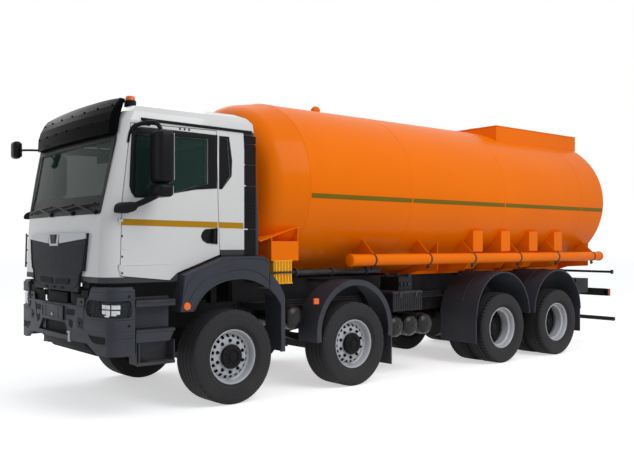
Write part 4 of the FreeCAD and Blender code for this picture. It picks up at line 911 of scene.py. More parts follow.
def make_front_shelf():
    """Closing panels behind the bumper and the grille, and the seal along the cab's lower front edge."""
    middle = cut(block((-0.64, 0.64), (-1.49, -1.478), (0.74, 1.225)),
                 *[block((x - 0.055, x + 0.055), (-1.5, -1.47), (1.095, 1.24)) for x in (-0.322, 0.322)])
    closing = joined(middle, both_sides(block((0.63, 0.8), (-1.489, -1.479), (0.74, 1.27))))
    fit(soften(closing, 0.004), "bumper_closing_panel", "chassis", SEAM)
    panel = slab((-0.48, 0.48), (-1.475, -1.455), (1.268, 1.352), 0.004)
    seal = pipe([cab_front(x, 1.352, 0.002) for x in (-0.75, -0.6, -0.4, 0, 0.4, 0.6, 0.75)], 0.01, 2)
    ears = both_sides(slab((0.61, 0.785), (-1.472, -1.456), (1.29, 1.42), 0.003, 1))
    fit(joined(panel, seal, ears), "front_shelf", "cab", SEAM)


def make_cab_arch():
    """Rolled edges and the raised line of the mudguards that are fixed to the cab."""
    outer = [(1.25, -0.668, 1.06), (1.25, -0.614, 1.408), (1.25, -0.11, 1.588), (1.25, 0.376, 1.594),
             (1.25, 0.456, 1.552)]
    raised = [(1.25, -0.6, 1.05), (1.25, -0.54, 1.23), (1.25, -0.32, 1.4), (1.25, -0.02, 1.48), (1.25, 0.24, 1.47),
              (1.25, 0.42, 1.38), (1.25, 0.462, 1.33)]
    edge = [(1.248, -0.512, 1.052), (1.248, -0.43, 1.205), (1.248, -0.215, 1.335), (1.248, 0.06, 1.376),
            (1.248, 0.31, 1.336), (1.248, 0.462, 1.245)]
    seam = [(1.25, -0.06, 1.6), (1.25, -0.045, 1.5), (1.25, -0.03, 1.38)]
    beads = [pipe(outer, 0.008, 3, 12), pipe(raised, 0.01, 3, 12), pipe(edge, 0.009, 3, 12), pipe(seam, 0.003, 2)]
    fit_both("cab_mudguard_beads", GREY, *beads, body="cab")


def make_kerb_vane():
    """Air guide beside the cab's right front corner."""
    vane = plate([(1.138, -1.452, 1.46), (1.196, -1.418, 1.46), (1.198, -1.408, 1.86), (1.142, -1.44, 1.872)],
                 (0.004, 0.014, 0))
    stalks = [slab((1.085, 1.15), (-1.44, -1.415), (z, z + 0.02), 0.003, 1) for z in (1.5, 1.66, 1.83)]
    left = joined(soften(vane, 0.004), *stalks)
    right = mirrored_copy(left)
    remove(left)
    fit(right, "kerb_vane", "cab", GLOSS_BLACK)


make_screen_surround()
make_screen_border()
make_wipers()
make_visor_detail()
make_inner_mirror()
make_grille_trim()
make_grille_badge()
make_grille_bars()
make_grille_openings()
make_front_shelf()
make_cab_arch()
make_kerb_vane()

# ---- bumper and lamps ---------------------------------------------------------------------------
BUMPER_PATH = ((0, -1.545), (0.28, -1.54), (0.56, -1.525), (0.84, -1.5), (1.0, -1.4812), (1.12, -1.465),
               (1.17, -1.45), (1.215, -1.425), (1.238, -1.385), (1.25, -1.33), (1.25, -1.194))


def bumper_point(s, z, proud=0.0):
    """Place on the bumper's face, s metres along it from the middle, moved out by proud."""
    along, left = 0.0, abs(s)
    for (x0, y0), (x1, y1) in zip(BUMPER_PATH, BUMPER_PATH[1:]):
        step = math.hypot(x1 - x0, y1 - y0)
        if along + step >= left or (x1, y1) == BUMPER_PATH[-1]:
            share = (left - along) / step
            x = x0 + (x1 - x0) * share + (y1 - y0) / step * proud
            y = y0 + (y1 - y0) * share - (x1 - x0) / step * proud
            return (math.copysign(x, s) if s else 0.0, y, z)
        along += step


def bumper_patch(corners, thick=0.006, proud=0.004, columns=16, rows=2):
    """Panel on the bumper's face; corners are (s, z)."""
    return skin(lambda u, v: bumper_point(*blend_corners(corners, u, v), proud), columns, rows, thick)


def bumper_pipe(places, proud, radius, sides):
    """Bent tube along the bumper's face; places are (s, z)."""
    return pipe([bumper_point(s, z, proud) for s, z in places], radius, sides)


def make_bumper_trim():
    """Rolled edges, ledge, panels and lamp bezel of the bumper's two halves."""
    bends = (1.0, 1.12, 1.17, 1.23, 1.28, 1.33, 1.4)
    rolled = bumper_pipe([(s, 1.28) for s in (0.9, *bends, 1.46)], -0.006, 0.013, 3)
    top_roll = bumper_pipe([(s, 1.29) for s in (0.88, *bends, 1.45)], -0.03, 0.026, 3)
    ledge = slab((0.0, 0.79), (-1.535, -1.47), (1.084, 1.108), 0.008)
    brow = soften(bumper_patch([(0.83, 1.196), (1.455, 1.196), (1.455, 1.262), (0.9, 1.262)], 0.01, 0.0, 20), 0.004)
    cheek = soften(bumper_patch([(0.52, 0.875), (1.455, 0.875), (1.455, 0.992), (0.6, 0.992)], 0.01, 0.0, 24), 0.004)
    inner = soften(bumper_patch([(0.5, 0.86), (0.74, 0.86), (0.76, 1.19), (0.62, 1.19)], 0.01, 0.0, 8, 4), 0.004)
    corners = (1.0, 1.12, 1.2, 1.28, 1.34)
    bezel = bumper_pipe([(0.79, 1.1), (0.79, 1.19), *[(s, 1.19) for s in corners], (1.435, 1.19), (1.435, 1.004),
                         *[(s, 1.004) for s in reversed(corners)], (0.79, 1.004), (0.79, 1.09)], 0.002, 0.01, 2)
    fit_both("bumper_trim", GREY, rolled, top_roll, ledge, brow, cheek, inner, bezel)


def make_fog_recess():
    """Dark hollow for a fog lamp, low in each corner."""
    hollow = bumper_patch([(0.95, 0.748), (1.17, 0.758), (1.2, 0.822), (0.86, 0.822)], 0.006, 0.002, 12, 3)
    fit_both("fog_recess", SEAM, hollow)


def make_fog_lip():
    """Rolled lower lip of each corner, under the fog lamp's hollow."""
    lip = bumper_pipe([(0.84, 0.826), (0.88, 0.78), (0.95, 0.744), (1.08, 0.742), (1.18, 0.756), (1.25, 0.8),
                       (1.34, 0.822), (1.45, 0.826)], 0.002, 0.01, 3)
    fit_both("fog_lip", GREY, lip)


def make_bumper_bolts():
    """Dark bolt heads round each lamp."""
    spots = [(0.7, 1.15), (1.4, 1.225), (1.4, 0.935), (0.66, 0.93)]
    bolts = [peg(bumper_point(s, z, 0.002), bumper_point(s, z, 0.014), 0.013, 12, 0.003, 1) for s, z in spots]
    fit_both("bumper_bolts", SEAM, *bolts)


def make_plate_holder():
    """Bare holder for a number plate, on the middle of the bumper."""
    back = slab((-0.31, 0.31), (-1.562, -1.548), (0.93, 1.09), 0.006)
    face = cut(back, block((-0.27, 0.27), (-1.57, -1.557), (0.955, 1.068)))
    ribs = [slab((x - 0.008, x + 0.008), (-1.56, -1.552), (0.957, 1.066), 0.002, 1) for x in (-0.18, 0.18)]
    fit(joined(face, *ribs), "plate_holder", "chassis", GREY)


def make_bumper_slots():
    """Openings beside the plate holder."""
    upper = bumper_patch([(0.36, 1.0), (0.56, 1.0), (0.58, 1.062), (0.37, 1.062)], 0.006, 0.001, 6)
    lower = bumper_patch([(0.42, 0.89), (0.5, 0.86), (0.5, 0.94), (0.42, 0.96)], 0.006, 0.001, 4)
    fit_both("bumper_slots", SEAM, upper, lower)


def make_tow_pin():
    """Towing pin in the left jaw, and the screw of the plate holder."""
    screw = peg((0.018, -1.553, 0.985), (0.018, -1.568, 0.985), 0.016, 16, 0.004)
    shank = drum((0.425, -1.53, 0.722), (0.425, -1.53, 0.815), 0.017, 16)
    head = peg((0.425, -1.53, 0.812), (0.425, -1.53, 0.834), 0.028, 16, 0.005)
    fit(joined(screw, shank, head), "tow_pins", "chassis", SILVER)


# place along the bumper, height, width and tallness of each reflector
CUPS = ((1.055, 1.12, 0.062, 0.04), (1.128, 1.12, 0.062, 0.04), (1.205, 1.12, 0.062, 0.04), (1.275, 1.12, 0.04, 0.04),
        (1.055, 1.068, 0.062, 0.038), (1.128, 1.062, 0.062, 0.052), (1.205, 1.062, 0.062, 0.052),
        (1.275, 1.068, 0.036, 0.038))


def make_headlamps():
    """Clear cover over a dark housing with bright reflectors."""
    opening = oblong(0.8, 1.014, 1.426, 1.178)
    cover = both_sides(bumper_patch(opening, 0.004, -0.006, 28, 4))
    fit(cover, "lamp_cover", "chassis", LENS, instead=["lamps"])
    housing = bumper_patch(opening, 0.006, -0.046, 28, 4)
    fins = [bumper_patch(oblong(s, 1.03, s + 0.01, 1.165), 0.022, -0.03, 2, 2)
            for s in (0.86, 0.89, 0.92, 0.95, 0.98)]
    fit_both("lamp_housing", GLOSS_BLACK, housing, *fins)
    cups = [bumper_patch(oblong(s, z - tall / 2, s + wide, z + tall / 2), 0.008, -0.026, 6, 4)
            for s, z, wide, tall in CUPS]
    lower = bumper_patch(oblong(1.11, 1.022, 1.185, 1.036), 0.01, -0.02, 6, 1)
    fit_both("lamp_reflectors", CHROME, soften(joined(*cups, lower), 0.003))


make_bumper_trim()
make_fog_recess()
make_fog_lip()
make_bumper_bolts()
make_plate_holder()
make_bumper_slots()
make_tow_pin()
make_headlamps()

# ---- cab sides ----------------------------------------------------------------------------------
def side_plate(outline, depth=0.006, x=CAB_SIDE_X - 0.001):
    """Flat panel on the cab's left side; the outline is (y, z)."""
    return plate([(x, y, z) for y, z in outline], (depth, 0, 0))


def side_strip(y0, z0, y1, z1, half, depth=0.003):
    """Straight strip on the cab's left side between two places on its middle line."""
    return side_plate([(y0, z0 - half), (y1, z1 - half), (y1, z1 + half), (y0, z0 + half)], depth)


def fit_pair(piece, name, finish, bodies=("door_left", "door_right"), instead=None):
    """The left piece and its right-hand twin, each on its own door or both on one body."""
    twin = mirrored_copy(piece)
    for part, side, body in zip((piece, twin), ("left", "right"), bodies):
        fit(part, f"{name}_{side}", body, finish, instead=[f"{instead}_{side}"] if instead else ())


DOOR_WINDOW = ((-1.108, 2.85), (-0.262, 2.868), (-0.262, 2.385), (-0.4, 2.362), (-0.79, 2.24), (-1.132, 2.222))
DOOR_WINDOW_EDGE = ((-1.168, 2.832), (-1.178, 2.681), (-1.192, 2.32), (-1.173, 2.261), (-1.129, 2.208),
                    (-0.902, 2.21), (-0.667, 2.272), (-0.424, 2.318), (-0.145, 2.343), (-0.14, 2.921), (-0.936, 2.93),
                    (-1.072, 2.926), (-1.139, 2.896))
QUARTER_WINDOW = ((-0.084, 2.888), (-0.01, 2.89), (0.026, 2.488), (-0.062, 2.368), (-0.088, 2.368))
QUARTER_EDGE = ((-0.119, 2.918), (0.012, 2.918), (0.052, 2.662), (0.045, 2.486), (-0.08, 2.338), (-0.119, 2.336))
BOTH_ON_CAB = ("cab", "cab")


def make_window_frames():
    """Black border round each side window."""
    border = cut(side_plate(DOOR_WINDOW_EDGE), side_plate(DOOR_WINDOW, 0.1, 1.07))
    fit_pair(soften(border, 0.003), "door_window_frame", GLOSS_BLACK)
    quarter = cut(side_plate(QUARTER_EDGE), side_plate(QUARTER_WINDOW, 0.1, 1.07))
    pane = side_plate(QUARTER_WINDOW, 0.003, 1.112)
    fit_pair(joined(soften(quarter, 0.003), pane), "quarter_window_frame", GLOSS_BLACK, BOTH_ON_CAB)


def make_handles():
    """Grip hollow and grip of each door."""
    outline = [(-0.35, 1.824), (-0.333, 1.868), (-0.299, 1.899), (-0.14, 1.915), (-0.14, 1.738), (-0.274, 1.749),
               (-0.33, 1.78)]
    hollow = side_plate(outline, 0.003)
    rim = side_plate(outline, 0.009)
    opening = side_plate([(-0.33, 1.824), (-0.318, 1.858), (-0.293, 1.884), (-0.15, 1.9), (-0.15, 1.752),
                          (-0.27, 1.763), (-0.314, 1.79)], 0.1, 1.1)
    rim = cut(rim, opening)
    grip = pipe([(1.124, -0.19, 1.89), (1.152, -0.197, 1.872), (1.156, -0.205, 1.82), (1.15, -0.208, 1.772),
                 (1.124, -0.206, 1.756)], 0.015, 4)
    lock = drum((1.12, -0.255, 1.79), (1.126, -0.255, 1.79), 0.012, 20)
    fit_pair(joined(hollow, soften(rim, 0.003), grip, lock), "door_handle", GLOSS_BLACK)


def make_stripes():
    """Gold line along the cab's side, on the door and behind it."""
    fit_pair(side_strip(-1.282, 1.961, -0.138, 1.948, 0.032, 0.0025), "door_stripe", GOLD)
    fit_pair(side_strip(-0.122, 1.948, 0.204, 1.944, 0.032, 0.0025), "rear_stripe", GOLD, BOTH_ON_CAB)


def make_gutters():
    """Drip strip over the door and hook-shaped seal at its front, on each side."""
    strip = side_plate([(-1.06, 2.99), (0.322, 2.974), (0.322, 3.006), (-1.06, 3.022)], 0.038, 1.094)
    hook = pipe([(1.122, -1.205, 2.76), (1.124, -1.192, 2.87), (1.124, -1.14, 2.945), (1.122, -1.05, 2.962),
                 (1.12, -0.96, 2.958)], 0.013, 3)
    fit_pair(joined(soften(strip, 0.006), hook), "gutter", GLOSS_BLACK, BOTH_ON_CAB)


def make_door_seams():
    """Raised lines pressed in the door, its hinge covers and the dots over its window."""
    lines = [soften(side_strip(-1.27, 1.531, -0.728, 1.535, 0.006, 0.005), 0.002),
             soften(side_strip(-1.27, 1.69, -1.23, 1.69, 0.01, 0.005), 0.002, 1)]
    fit_pair(joined(*lines), "door_pressing", WHITE)
    caps = [soften(side_strip(-1.279, z, -1.262, z, 0.01, 0.006), 0.002, 1) for z in (1.82, 1.615, 1.451)]
    dots = [peg((1.117, y, 2.948), (1.125, y, 2.948), 0.012, 16, 0.003, 1) for y in (-0.607, -0.552, -0.497)]
    fit_pair(joined(*caps, *dots), "door_fittings", SEAM)


def make_louvres():
    """Panels and slats of the air intake behind the cab's side."""
    levels = (1.3, 1.56, 1.906, 2.391, 2.625, 2.859, 2.955)
    panels = [slab((1.108, 1.122), (0.214, 0.376), (low + 0.006, high - 0.006), 0.003, 1)
              for low, high in zip(levels, levels[1:])]
    slats = row(slab((1.12, 1.13), (0.228, 0.362), (2.015, 2.023), 0.002, 1), 8, (0, 0, 0.04))
    fit_pair(joined(*panels, slats), "louvre_panels", GLOSS_BLACK, BOTH_ON_CAB)


def make_mirror():
    """Two housings, arms and the smooth foot of one door mirror."""
    upper = slab((1.237, 1.483), (-1.043, -0.868), (2.345, 2.87), 0.052, 5)
    lower = slab((1.237, 1.483), (-1.043, -0.88), (2.207, 2.338), 0.04, 5)
    hook = pipe([(1.118, -1.165, 2.85), (1.135, -1.15, 2.93), (1.23, -1.05, 2.962), (1.33, -0.965, 2.95),
                 (1.35, -0.955, 2.855)], 0.022, 4)
    rod = pipe([(1.2, -1.19, 2.12), (1.26, -1.08, 2.165), (1.33, -0.97, 2.24)], 0.03, 4)
    bar = slab((1.34, 1.38), (-0.975, -0.935), (2.32, 2.36), 0.008)
    foot = plate([(1.125, y, z) for y, z in ((-1.448, 2.046), (-1.44, 2.078), (-1.4, 2.124), (-1.33, 2.15),
                                             (-1.23, 2.158), (-1.12, 2.15), (-1.184, 2.07), (-1.271, 2.044))],
                 (0.13, 0, 0))
    inner = plate([(1.1, -1.5, 2.0), (1.33, -1.5, 2.0), (1.128, -1.298, 2.0), (1.1, -1.298, 2.0)], (0, 0, 0.2))
    foot = cut(soften(foot, 0.03, 4, 20), inner)
    return joined(upper, lower, hook, rod, bar, foot)


def make_mirrors():
    """Both door mirrors, with their glasses as pieces of their own."""
    fit_pair(make_mirror(), "mirror_housing", GLOSS_BLACK, instead="mirror")
    glasses = [slab((1.262, 1.458), (-0.872, -0.864), (2.375, 2.84), 0.003, 1),
               slab((1.262, 1.458), (-0.884, -0.876), (2.225, 2.32), 0.003, 1)]
    fit_pair(joined(*glasses), "mirror_glass", CHROME)


def make_kerb_mirror():
    """Small mirror on an arm at the visor's right end."""
    pod = slab((-1.288, -1.132), (-1.583, -1.482), (2.778, 2.988), 0.042, 5)
    arm = pipe([(-1.19, -1.49, 2.882), (-1.13, -1.38, 2.89), (-1.04, -1.225, 2.882)], 0.013, 3)
    fit(joined(pod, arm), "kerb_mirror_housing", "cab", GLOSS_BLACK, instead=["kerb_mirror"])
    glass = slab((-1.268, -1.152), (-1.486, -1.478), (2.8, 2.966), 0.003, 1)
    fit(glass, "kerb_mirror_glass", "cab", CHROME)


def make_beacons():
    """Amber lamps on black feet at the back of the visor."""
    feet, caps = [], []
    for x in (-0.85, 0.85):
        feet.append(turned([(0.0, 0), (0.0, 0.064), (0.128, 0.062), (0.134, 0.052), (0.134, 0)], (x, -1.045, 3.1), 32,
                           "Z", closed=False))
        caps.append(turned([(0.0, 0), (0.0, 0.052), (0.03, 0.05), (0.044, 0.04), (0.051, 0.02), (0.052, 0)],
                           (x, -1.045, 3.234), 32, "Z", closed=False))
    fit(joined(*caps), "beacon_caps", "cab", AMBER, instead=["roof_beacons"])
    fit(joined(*feet), "beacon_feet", "cab", GLOSS_BLACK)


make_window_frames()
make_handles()
make_stripes()
make_gutters()
make_door_seams()
make_louvres()
make_mirrors()
make_kerb_mirror()
make_beacons()

# ---- tank ---------------------------------------------------------------------------------------
TANK_WIDE, TANK_HIGH, TANK_Z = 1.237, 1.106, 2.442
TANK_SEAMS = (1.096, 2.842, 4.832, 6.865, 7.5)


def tank_side(z, proud=0.0):
    """How far out the tank's side is at a height."""
    return TANK_WIDE * math.sqrt(1 - ((z - TANK_Z) / TANK_HIGH) ** 2) + proud


def make_weld_rings():
    """Weld beads round the tank, one to each seam."""
    rings = []
    for y in TANK_SEAMS:
        bead = turned([(y - 0.007, 0.998), (y - 0.004, 1.0022), (y + 0.004, 1.0022), (y + 0.007, 0.998)], (0, 0, 0),
                      128, "Y")
        bead.scale = (TANK_WIDE, 1, TANK_HIGH)
        bead.location = (0, 0, TANK_Z)
        only(bead)
        bpy.ops.object.transform_apply()
        rings.append(bead)
    fit(joined(*rings), "weld_rings", "chassis", ORANGE)


def make_tank_stripes():
    """Olive line along each side, in one length per tank section."""
    lengths, low, tall = [], 2.285, 0.055
    for front, rear in zip((1.11, 2.855, 4.845, 6.878), (2.829, 4.819, 6.852, 7.49)):
        lengths.append(skin(lambda u, v, a=front, b=rear: (tank_side(low + tall * v, 0.002), a + (b - a) * u,
                                                           low + tall * v), 4, 4, 0.002))
    fit_both("tank_stripe", OLIVE, *lengths)


LID_LOW, LID_EDGE, LID_TOP = 3.642, 3.66, 3.6655


def make_lid_fittings(y, name, body):
    """Raised rim and clamp screws of one lid."""
    rim = turned([(LID_LOW, 0.285), (LID_LOW, 0.302), (LID_EDGE, 0.302), (LID_TOP, 0.294), (LID_EDGE, 0.285)],
                 (0, y, 0), 64, "Z")
    knobs = ring(peg((0.24, y, 3.655), (0.24, y, LID_TOP), 0.018, 8, 0.003, 1), 6, (0, y, 0), "Z")
    fit(joined(rim, knobs), name, body, METAL)


def make_collar_detail():
    """Folded edge round the top of the collar."""
    half, front, rear, top = 0.706, 5.327, 7.566, 3.584
    edge = frame_plate([(-half, front, top), (half, front, top), (half, rear, top), (-half, rear, top)], 0.018,
                       (0, 0, 0.018))
    fit(soften(edge, 0.004), "collar_edge", "chassis", ORANGE)


make_weld_rings()
make_tank_stripes()
make_collar_detail()
make_lid_fittings(5.95, "front_lid_fittings", "front_lid")
make_lid_fittings(6.95, "rear_lid_fittings", "rear_lid")

# ---- chassis fittings ---------------------------------------------------------------------------
TUBE_X, TUBE_Z, TUBE_R = 1.185, 1.541, 0.073
CLAMP_Y = (2.15, 3.19, 4.12, 5.2, 6.2, 7.24)


def make_tube_fittings():
    """Dark clamp bands with bolts on the hose tubes, and the tubes' capped ends."""
    bands = []
    for y in CLAMP_Y:
        bands.append(turned([(y - 0.014, TUBE_R), (y - 0.014, TUBE_R + 0.005), (y + 0.014, TUBE_R + 0.005),
                             (y + 0.014, TUBE_R)], (TUBE_X, 0, TUBE_Z), 40, "Y"))
        lug = slab((TUBE_X - 0.012, TUBE_X + 0.012), (y - 0.018, y + 0.018),
                   (TUBE_Z - TUBE_R - 0.055, TUBE_Z - TUBE_R + 0.004), 0.003, 1)
        bolt = drum((TUBE_X + 0.012, y, TUBE_Z - TUBE_R - 0.03), (TUBE_X + 0.03, y, TUBE_Z - TUBE_R - 0.03), 0.01, 6)
        bands += [lug, bolt]
    fit_both("tube_clamps", CAST, *bands)
    caps = []
    for y, way in ((1.76, -1), (7.48, 1)):
        caps.append(turned([(y - way * 0.03, TUBE_R), (y - way * 0.03, TUBE_R + 0.006), (y, TUBE_R + 0.006),
                            (y + way * 0.008, TUBE_R - 0.006), (y + way * 0.008, 0)], (TUBE_X, 0, TUBE_Z), 40, "Y",
                           closed=False))
    fit_both("tube_caps", ORANGE, *caps)


def make_chock_ribs():
    """Upright ribs, rims and holder strap of the stowed wheel chocks."""
    ribs = row(slab((0.905, 1.106), (0.668, 0.684), (1.285, 1.545), 0.004), 6, (0, 0.044, 0))
    rims = [slab((0.902, 1.102), (0.645, 0.925), (z, z + 0.016), 0.004) for z in (1.278, 1.536)]
    fit(joined(ribs, *rims), "chock_ribs", "chassis", YELLOW)
    strap = slab((1.1, 1.114), (0.64, 0.93), (1.4, 1.424), 0.003, 1)
    fit(strap, "chock_strap", "chassis", CAST)


def make_fuel_tank_detail():
    """Straps with bolts, rolled ends and filler cap of the fuel tank on the right side."""
    strap_y = (2.78, 3.26, 3.72)
    straps = [slab((-1.216, -0.555), (y, y + 0.045), (0.484, 1.096), 0.004, 1) for y in strap_y]
    ends = [slab((-1.213, -0.557), (y, y + 0.012), (0.487, 1.093), 0.005, 1) for y in (2.597, 3.951)]
    bolts = [drum((-1.216, y + 0.022, z), (-1.23, y + 0.022, z), 0.011, 6) for y in strap_y for z in (0.56, 1.02)]
    fit(joined(*straps, *ends, *bolts), "fuel_tank_straps", "chassis", CAST)
    cap = turned([(1.085, 0.0), (1.085, 0.062), (1.104, 0.062), (1.11, 0.054), (1.11, 0.0)], (-1.02, 3.52, 0), 32,
                 "Z", closed=False)
    grip = slab((-1.07, -0.97), (3.512, 3.528), (1.108, 1.122), 0.004)
    fit(joined(cap, grip), "fuel_filler_cap", "chassis", GLOSS_BLACK)


def make_side_markers():
    """Amber markers on the mudguards."""
    cup = turned([(1.246, 0), (1.246, 0.042), (1.258, 0.042), (1.266, 0.034), (1.27, 0)], (0, -0.6, 1.095), 32, "X",
                 closed=False)
    lamps = [cup, slab((1.226, 1.25), (1.128, 1.205), (1.032, 1.102), 0.006)]
    fit_both("side_markers", AMBER, *lamps)


AIR_TANK_Z = 0.655


def make_air_tank_straps():
    """Strap bands round the three air tanks, and the plugs in their left ends."""
    straps = []
    for step in range(3):
        y = 2.717 + 0.287 * step
        for x in (0.6, 0.95):
            straps.append(turned([(x, 0.14), (x, 0.145), (x + 0.03, 0.145), (x + 0.03, 0.14)], (0, y, AIR_TANK_Z),
                                 32))
        straps.append(turned([(1.1, 0.0), (1.1, 0.03), (1.112, 0.024), (1.116, 0.0)], (0, y, AIR_TANK_Z), 20,
                             closed=False))
    fit(joined(*straps), "air_tank_straps", "chassis", CAST)


def make_battery_detail():
    """Ribbed side, lid and latches of the battery box, with the valves above it."""
    ribs = row(slab((1.098, 1.108), (2.63, 2.642), (0.88, 1.095), 0.002, 1), 13, (0, 0.043, 0))
    lid = slab((0.465, 1.108), (2.598, 3.17), (1.088, 1.116), 0.006)
    latches = [slab((1.104, 1.12), (y, y + 0.03), (1.04, 1.11), 0.003, 1) for y in (2.72, 3.02)]
    valves = [peg((0.7 + 0.12 * i, 2.9 + 0.09 * i, 1.29), (0.7 + 0.12 * i, 2.9 + 0.09 * i, 1.345), 0.032, 16, 0.006)
              for i in range(3)]
    valves += [peg((0.955, 2.9 + 0.07 * i, 1.2), (0.985, 2.9 + 0.07 * i, 1.2), 0.024, 12, 0.004, 1) for i in range(3)]
    fit(joined(ribs, lid, *latches, *valves), "battery_cover", "chassis", CAST)


def make_chassis_pipes():
    """Air and fuel pipes along the frame, and the discharge pipe under the tank."""
    runs = [pipe([(0.46 + 0.02 * i, 0.75, 1.02 - 0.03 * i), (0.47 + 0.02 * i, 1.9, 1.03 - 0.03 * i),
                  (0.47 + 0.02 * i, 3.2, 1.02 - 0.03 * i), (0.47 + 0.02 * i, 4.3, 1.04 - 0.03 * i)], 0.011, 2)
            for i in range(3)]
    main = pipe([(0.98, 1.02, 1.4), (0.99, 1.6, 1.396), (0.99, 2.2, 1.396), (0.98, 2.47, 1.4)], 0.034, 4)
    flanges = [peg((0.985, y, 1.398), (0.985, y + 0.022, 1.398), 0.055, 24, 0.003, 1) for y in (1.04, 1.62, 2.2)]
    hangers = [slab((0.5, 0.985), (y, y + 0.03), (1.372, 1.388), 0.003, 1) for y in (1.25, 1.85, 2.35)]
    fit(joined(*runs, main, *flanges, *hangers), "frame_pipes", "chassis", CAST)


def make_frame_bolts():
    """Bolt rows on the outside of the frame rails."""
    count, pitch = 40, 0.17
    line = row(drum((0.375, 0.6, 0.98), (0.402, 0.6, 0.98), 0.013, 6), count, (0, pitch, 0))
    fit_both("frame_bolts", CAST, line, copied(line, (0, 0.06, -0.13)))


def make_step_treads():
    """Ribbed treads of the entry steps, and their outer edges."""
    treads = [row(slab((1.098, 1.238), (-1.165, -1.153), (z, z + 0.006), 0.002, 1), 14, (0, 0.03, 0))
              for z in (1.179, 0.884, 0.555)]
    edges = [slab((1.24, 1.25), (-1.178, -0.738), (z - 0.03, z), 0.003, 1) for z in (1.18, 0.885, 0.556)]
    fit_both("step_treads", CAST, *treads, *edges)


def make_step_sides():
    """Side plates and back of the lowest entry step."""
    plates = [slab((1.085, 1.24), (y, y + 0.012), (0.535, 0.765), 0.003, 1) for y in (-1.178, -0.75)]
    back = slab((1.082, 1.094), (-1.178, -0.738), (0.535, 0.765), 0.003, 1)
    fit_both("step_sides", CAST, *plates, back)


def make_undertray():
    """Dark shield under the front of the frame."""
    tray = plate([(0.6, -1.47, 0.73), (0.6, -1.12, 0.73), (0.6, -1.12, 0.56), (0.6, -1.3, 0.56)], (-1.2, 0, 0))
    fit(soften(tray, 0.02, 3), "undertray", "chassis", SEAM)


REAR_LENS_Y = (7.736, 7.746)


def make_rear_lamps():
    """Boxes of the rear lamps, with their red and white lenses."""
    fit_both("rear_lamp_boxes", GLOSS_BLACK, slab((1.182, 1.246), (7.652, 7.738), (0.864, 0.983), 0.008))
    red = [slab((1.185, 1.243), REAR_LENS_Y, (0.87, 0.98), 0.003, 1),
           slab((1.244, 1.251), (7.665, 7.73), (0.875, 0.975), 0.003, 1),
           slab((0.86, 1.17), REAR_LENS_Y, (0.88, 0.97), 0.003, 1)]
    fit_both("rear_lenses", RED, *red)
    white = both_sides(slab((0.72, 0.84), REAR_LENS_Y, (0.88, 0.97), 0.003, 1))
    fit(white, "reversing_lenses", "chassis", SILVER)


def arc(x, y, z, radius, low=0, high=180):
    """Places along an arch over a wheel."""
    steps = 16
    turns = [math.radians(low + (high - low) * k / steps) for k in range(steps + 1)]
    return [(x, y + radius * math.cos(turn), z + radius * math.sin(turn)) for turn in turns]


SECOND_GUARD, REAR_GUARD_Z, BOLT_CIRCLE = (1.806, 0.672), 0.698, 0.6


def make_mudguard_beads():
    """Rolled edges of the mudguards, with the fixing bolts of the second axle's."""
    beads = [pipe(arc(1.243, *SECOND_GUARD, 0.626), 0.01, 3),
             pipe(arc(1.243, *SECOND_GUARD, 0.572, 4, 176), 0.007, 3)]
    for y in AXLE_Y[2:]:
        beads += [pipe(arc(1.244, y, REAR_GUARD_Z, 0.634), 0.011, 3),
                  pipe(arc(0.97, y, REAR_GUARD_Z, 0.645, 20, 160), 0.008, 2)]
    for turn in (25, 65, 115, 155):
        y, z = (c + BOLT_CIRCLE * part(math.radians(turn)) for c, part in zip(SECOND_GUARD, (math.cos, math.sin)))
        beads.append(peg((1.249, y, z), (1.256, y, z), 0.012, 12, 0.002, 1))
    fit_both("mudguard_beads", GREY, *beads)


make_tube_fittings()
make_mudguard_beads()
make_chock_ribs()
make_fuel_tank_detail()
make_side_markers()
make_air_tank_straps()
make_battery_detail()
make_chassis_pipes()
make_frame_bolts()
make_step_treads()
make_step_sides()
make_undertray()
make_rear_lamps()

# ---- cab inside ---------------------------------------------------------------------------------
def make_cushion(low, high, puff):
    """Crowned pad between two corners, fuller in the middle of each face."""
    piece = block(*zip(low, high))
    pick_all(piece)
    bpy.ops.mesh.subdivide(number_cuts=3)
    only(piece)
    middle = at(*[(a + b) / 2 for a, b in zip(low, high)])
    half = [(b - a) / 2 for a, b in zip(low, high)]
    for vertex in piece.data.vertices:
        share = [(c - m) / h for c, m, h in zip(vertex.co, middle, half)]
        pull = sum(s ** 4 for s in share) - 1
        for axis in range(3):
            vertex.co[axis] = middle[axis] + half[axis] * share[axis] * (1 - puff * max(0, pull) / 2)
    add_modifier(piece, "SUBSURF", levels=2, render_levels=2)
    return piece


def tipped(piece, pivot, angle):
    """Piece leant back about a line across the cab."""
    only(piece)
    bpy.ops.object.origin_set(type="ORIGIN_CURSOR")
    turn = Matrix.Translation(at(*pivot)) @ Matrix.Rotation(math.radians(angle), 4, "X") @ Matrix.Translation(
        -at(*pivot))
    piece.data.transform(turn)
    return piece


SEAT_X = 0.52


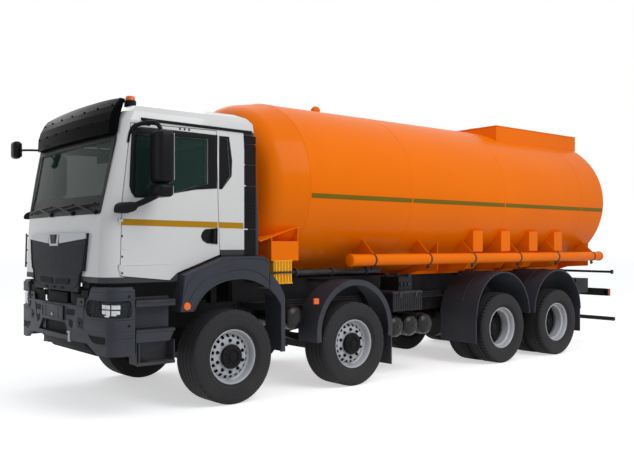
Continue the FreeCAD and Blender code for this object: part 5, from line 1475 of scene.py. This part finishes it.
def make_seat(x, side):
    """One seat: three soft pads on a moulded base with a shell behind."""
    hinge, lean = (x, -0.04, 1.91), -9
    pads = [make_cushion((x - 0.25, -0.62, 1.855), (x + 0.25, -0.07, 1.965), 0.1),
            tipped(make_cushion((x - 0.25, -0.1, 1.91), (x + 0.25, 0.02, 2.54), 0.1), hinge, lean),
            tipped(make_cushion((x - 0.13, -0.08, 2.565), (x + 0.13, 0.02, 2.735), 0.12), hinge, lean)]
    for pad, name in zip(pads, ("seat_cushion", "backrest", "headrest")):
        fit(pad, f"{name}_{side}", "cab", CLOTH, 60, instead=["seats"])
    base = slab((x - 0.17, x + 0.17), (-0.5, -0.13), (1.66, 1.865), 0.03, 3)
    stem = slab((x - 0.05, x + 0.05), (-0.02, 0.01), (2.48, 2.6), 0.006)
    shell = tipped(slab((x - 0.22, x + 0.22), (0.0, 0.04), (1.9, 2.5), 0.018, 3), hinge, lean)
    fit(joined(base, stem, shell), f"seat_base_{side}", "cab", TRIM)


def make_steering_wheel():
    """Rim, spokes, boss and column."""
    rim = turned([(0.017 * math.cos(a * math.pi / 5), 0.225 + 0.017 * math.sin(a * math.pi / 5)) for a in range(10)],
                 (0, 0, 0), 48, "Z")
    boss = peg((0, 0, -0.03), (0, 0, 0.012), 0.075, 24, 0.015, 3)
    spokes = [slab((-0.215, 0.215), (-0.022, 0.022), (-0.016, 0.002), 0.006),
              slab((-0.02, 0.02), (-0.215, 0.0), (-0.016, 0.002), 0.006)]
    wheel = joined(rim, boss, *spokes)
    wheel.data.transform(Matrix.Translation(-at(0, 0, 0)))
    wheel.data.transform(Matrix.Translation(at(SEAT_X, -0.93, 2.06)) @ Matrix.Rotation(math.radians(28), 4, "X"))
    column = drum((SEAT_X, -0.94, 2.045), (SEAT_X, -1.13, 1.72), 0.035, 20)
    fit(joined(wheel, column), "steering_wheel", "cab", TRIM)


def make_lining():
    """Dark lining of the rear wall, seen through the glass."""
    rear = slab((-1.04, 1.04), (0.27, 0.285), (1.72, 2.93), 0.004, 1)
    ribs = row(slab((-0.95, -0.93), (0.258, 0.272), (1.9, 2.85), 0.004, 1), 5, (0.47, 0, 0))
    fit(joined(rear, ribs), "rear_lining", "cab", TRIM)


make_seat(SEAT_X, "left")
make_seat(-SEAT_X, "right")
make_steering_wheel()
make_lining()

# ---- floor --------------------------------------------------------------------------------------
def make_floor():
    """White ground that keeps the vehicle's shadow."""
    only()
    bpy.ops.mesh.primitive_plane_add(size=160, location=(0, 0, 0))
    floor = bpy.context.object
    floor.name = "floor"
    pale = Finish("pale_floor", "", (0.8, 0.8, 0.8), 0.9)
    pale.set("Base Color", pale.mix(pale.noise(0.3).fade(0.3, 0.7), (0.79, 0.79, 0.79), (0.81, 0.81, 0.81)))
    glow, lifted, both = (pale.node(kind) for kind in ("ShaderNodeEmission", "ShaderNodeAddShader",
                                                       "ShaderNodeMixShader"))
    glow.inputs["Strength"].default_value = FLOOR_GLOW
    pale.feed(lifted.inputs[0], pale.shader.outputs[0])
    pale.feed(lifted.inputs[1], glow.outputs[0])
    pale.feed(both.inputs[0], seen_directly(pale.tree))
    pale.feed(both.inputs[1], pale.shader.outputs[0])
    pale.feed(both.inputs[2], lifted.outputs[0])
    pale.feed(pale.tree.nodes["Material Output"].inputs["Surface"], both.outputs[0])
    wear(floor, pale)


make_floor()
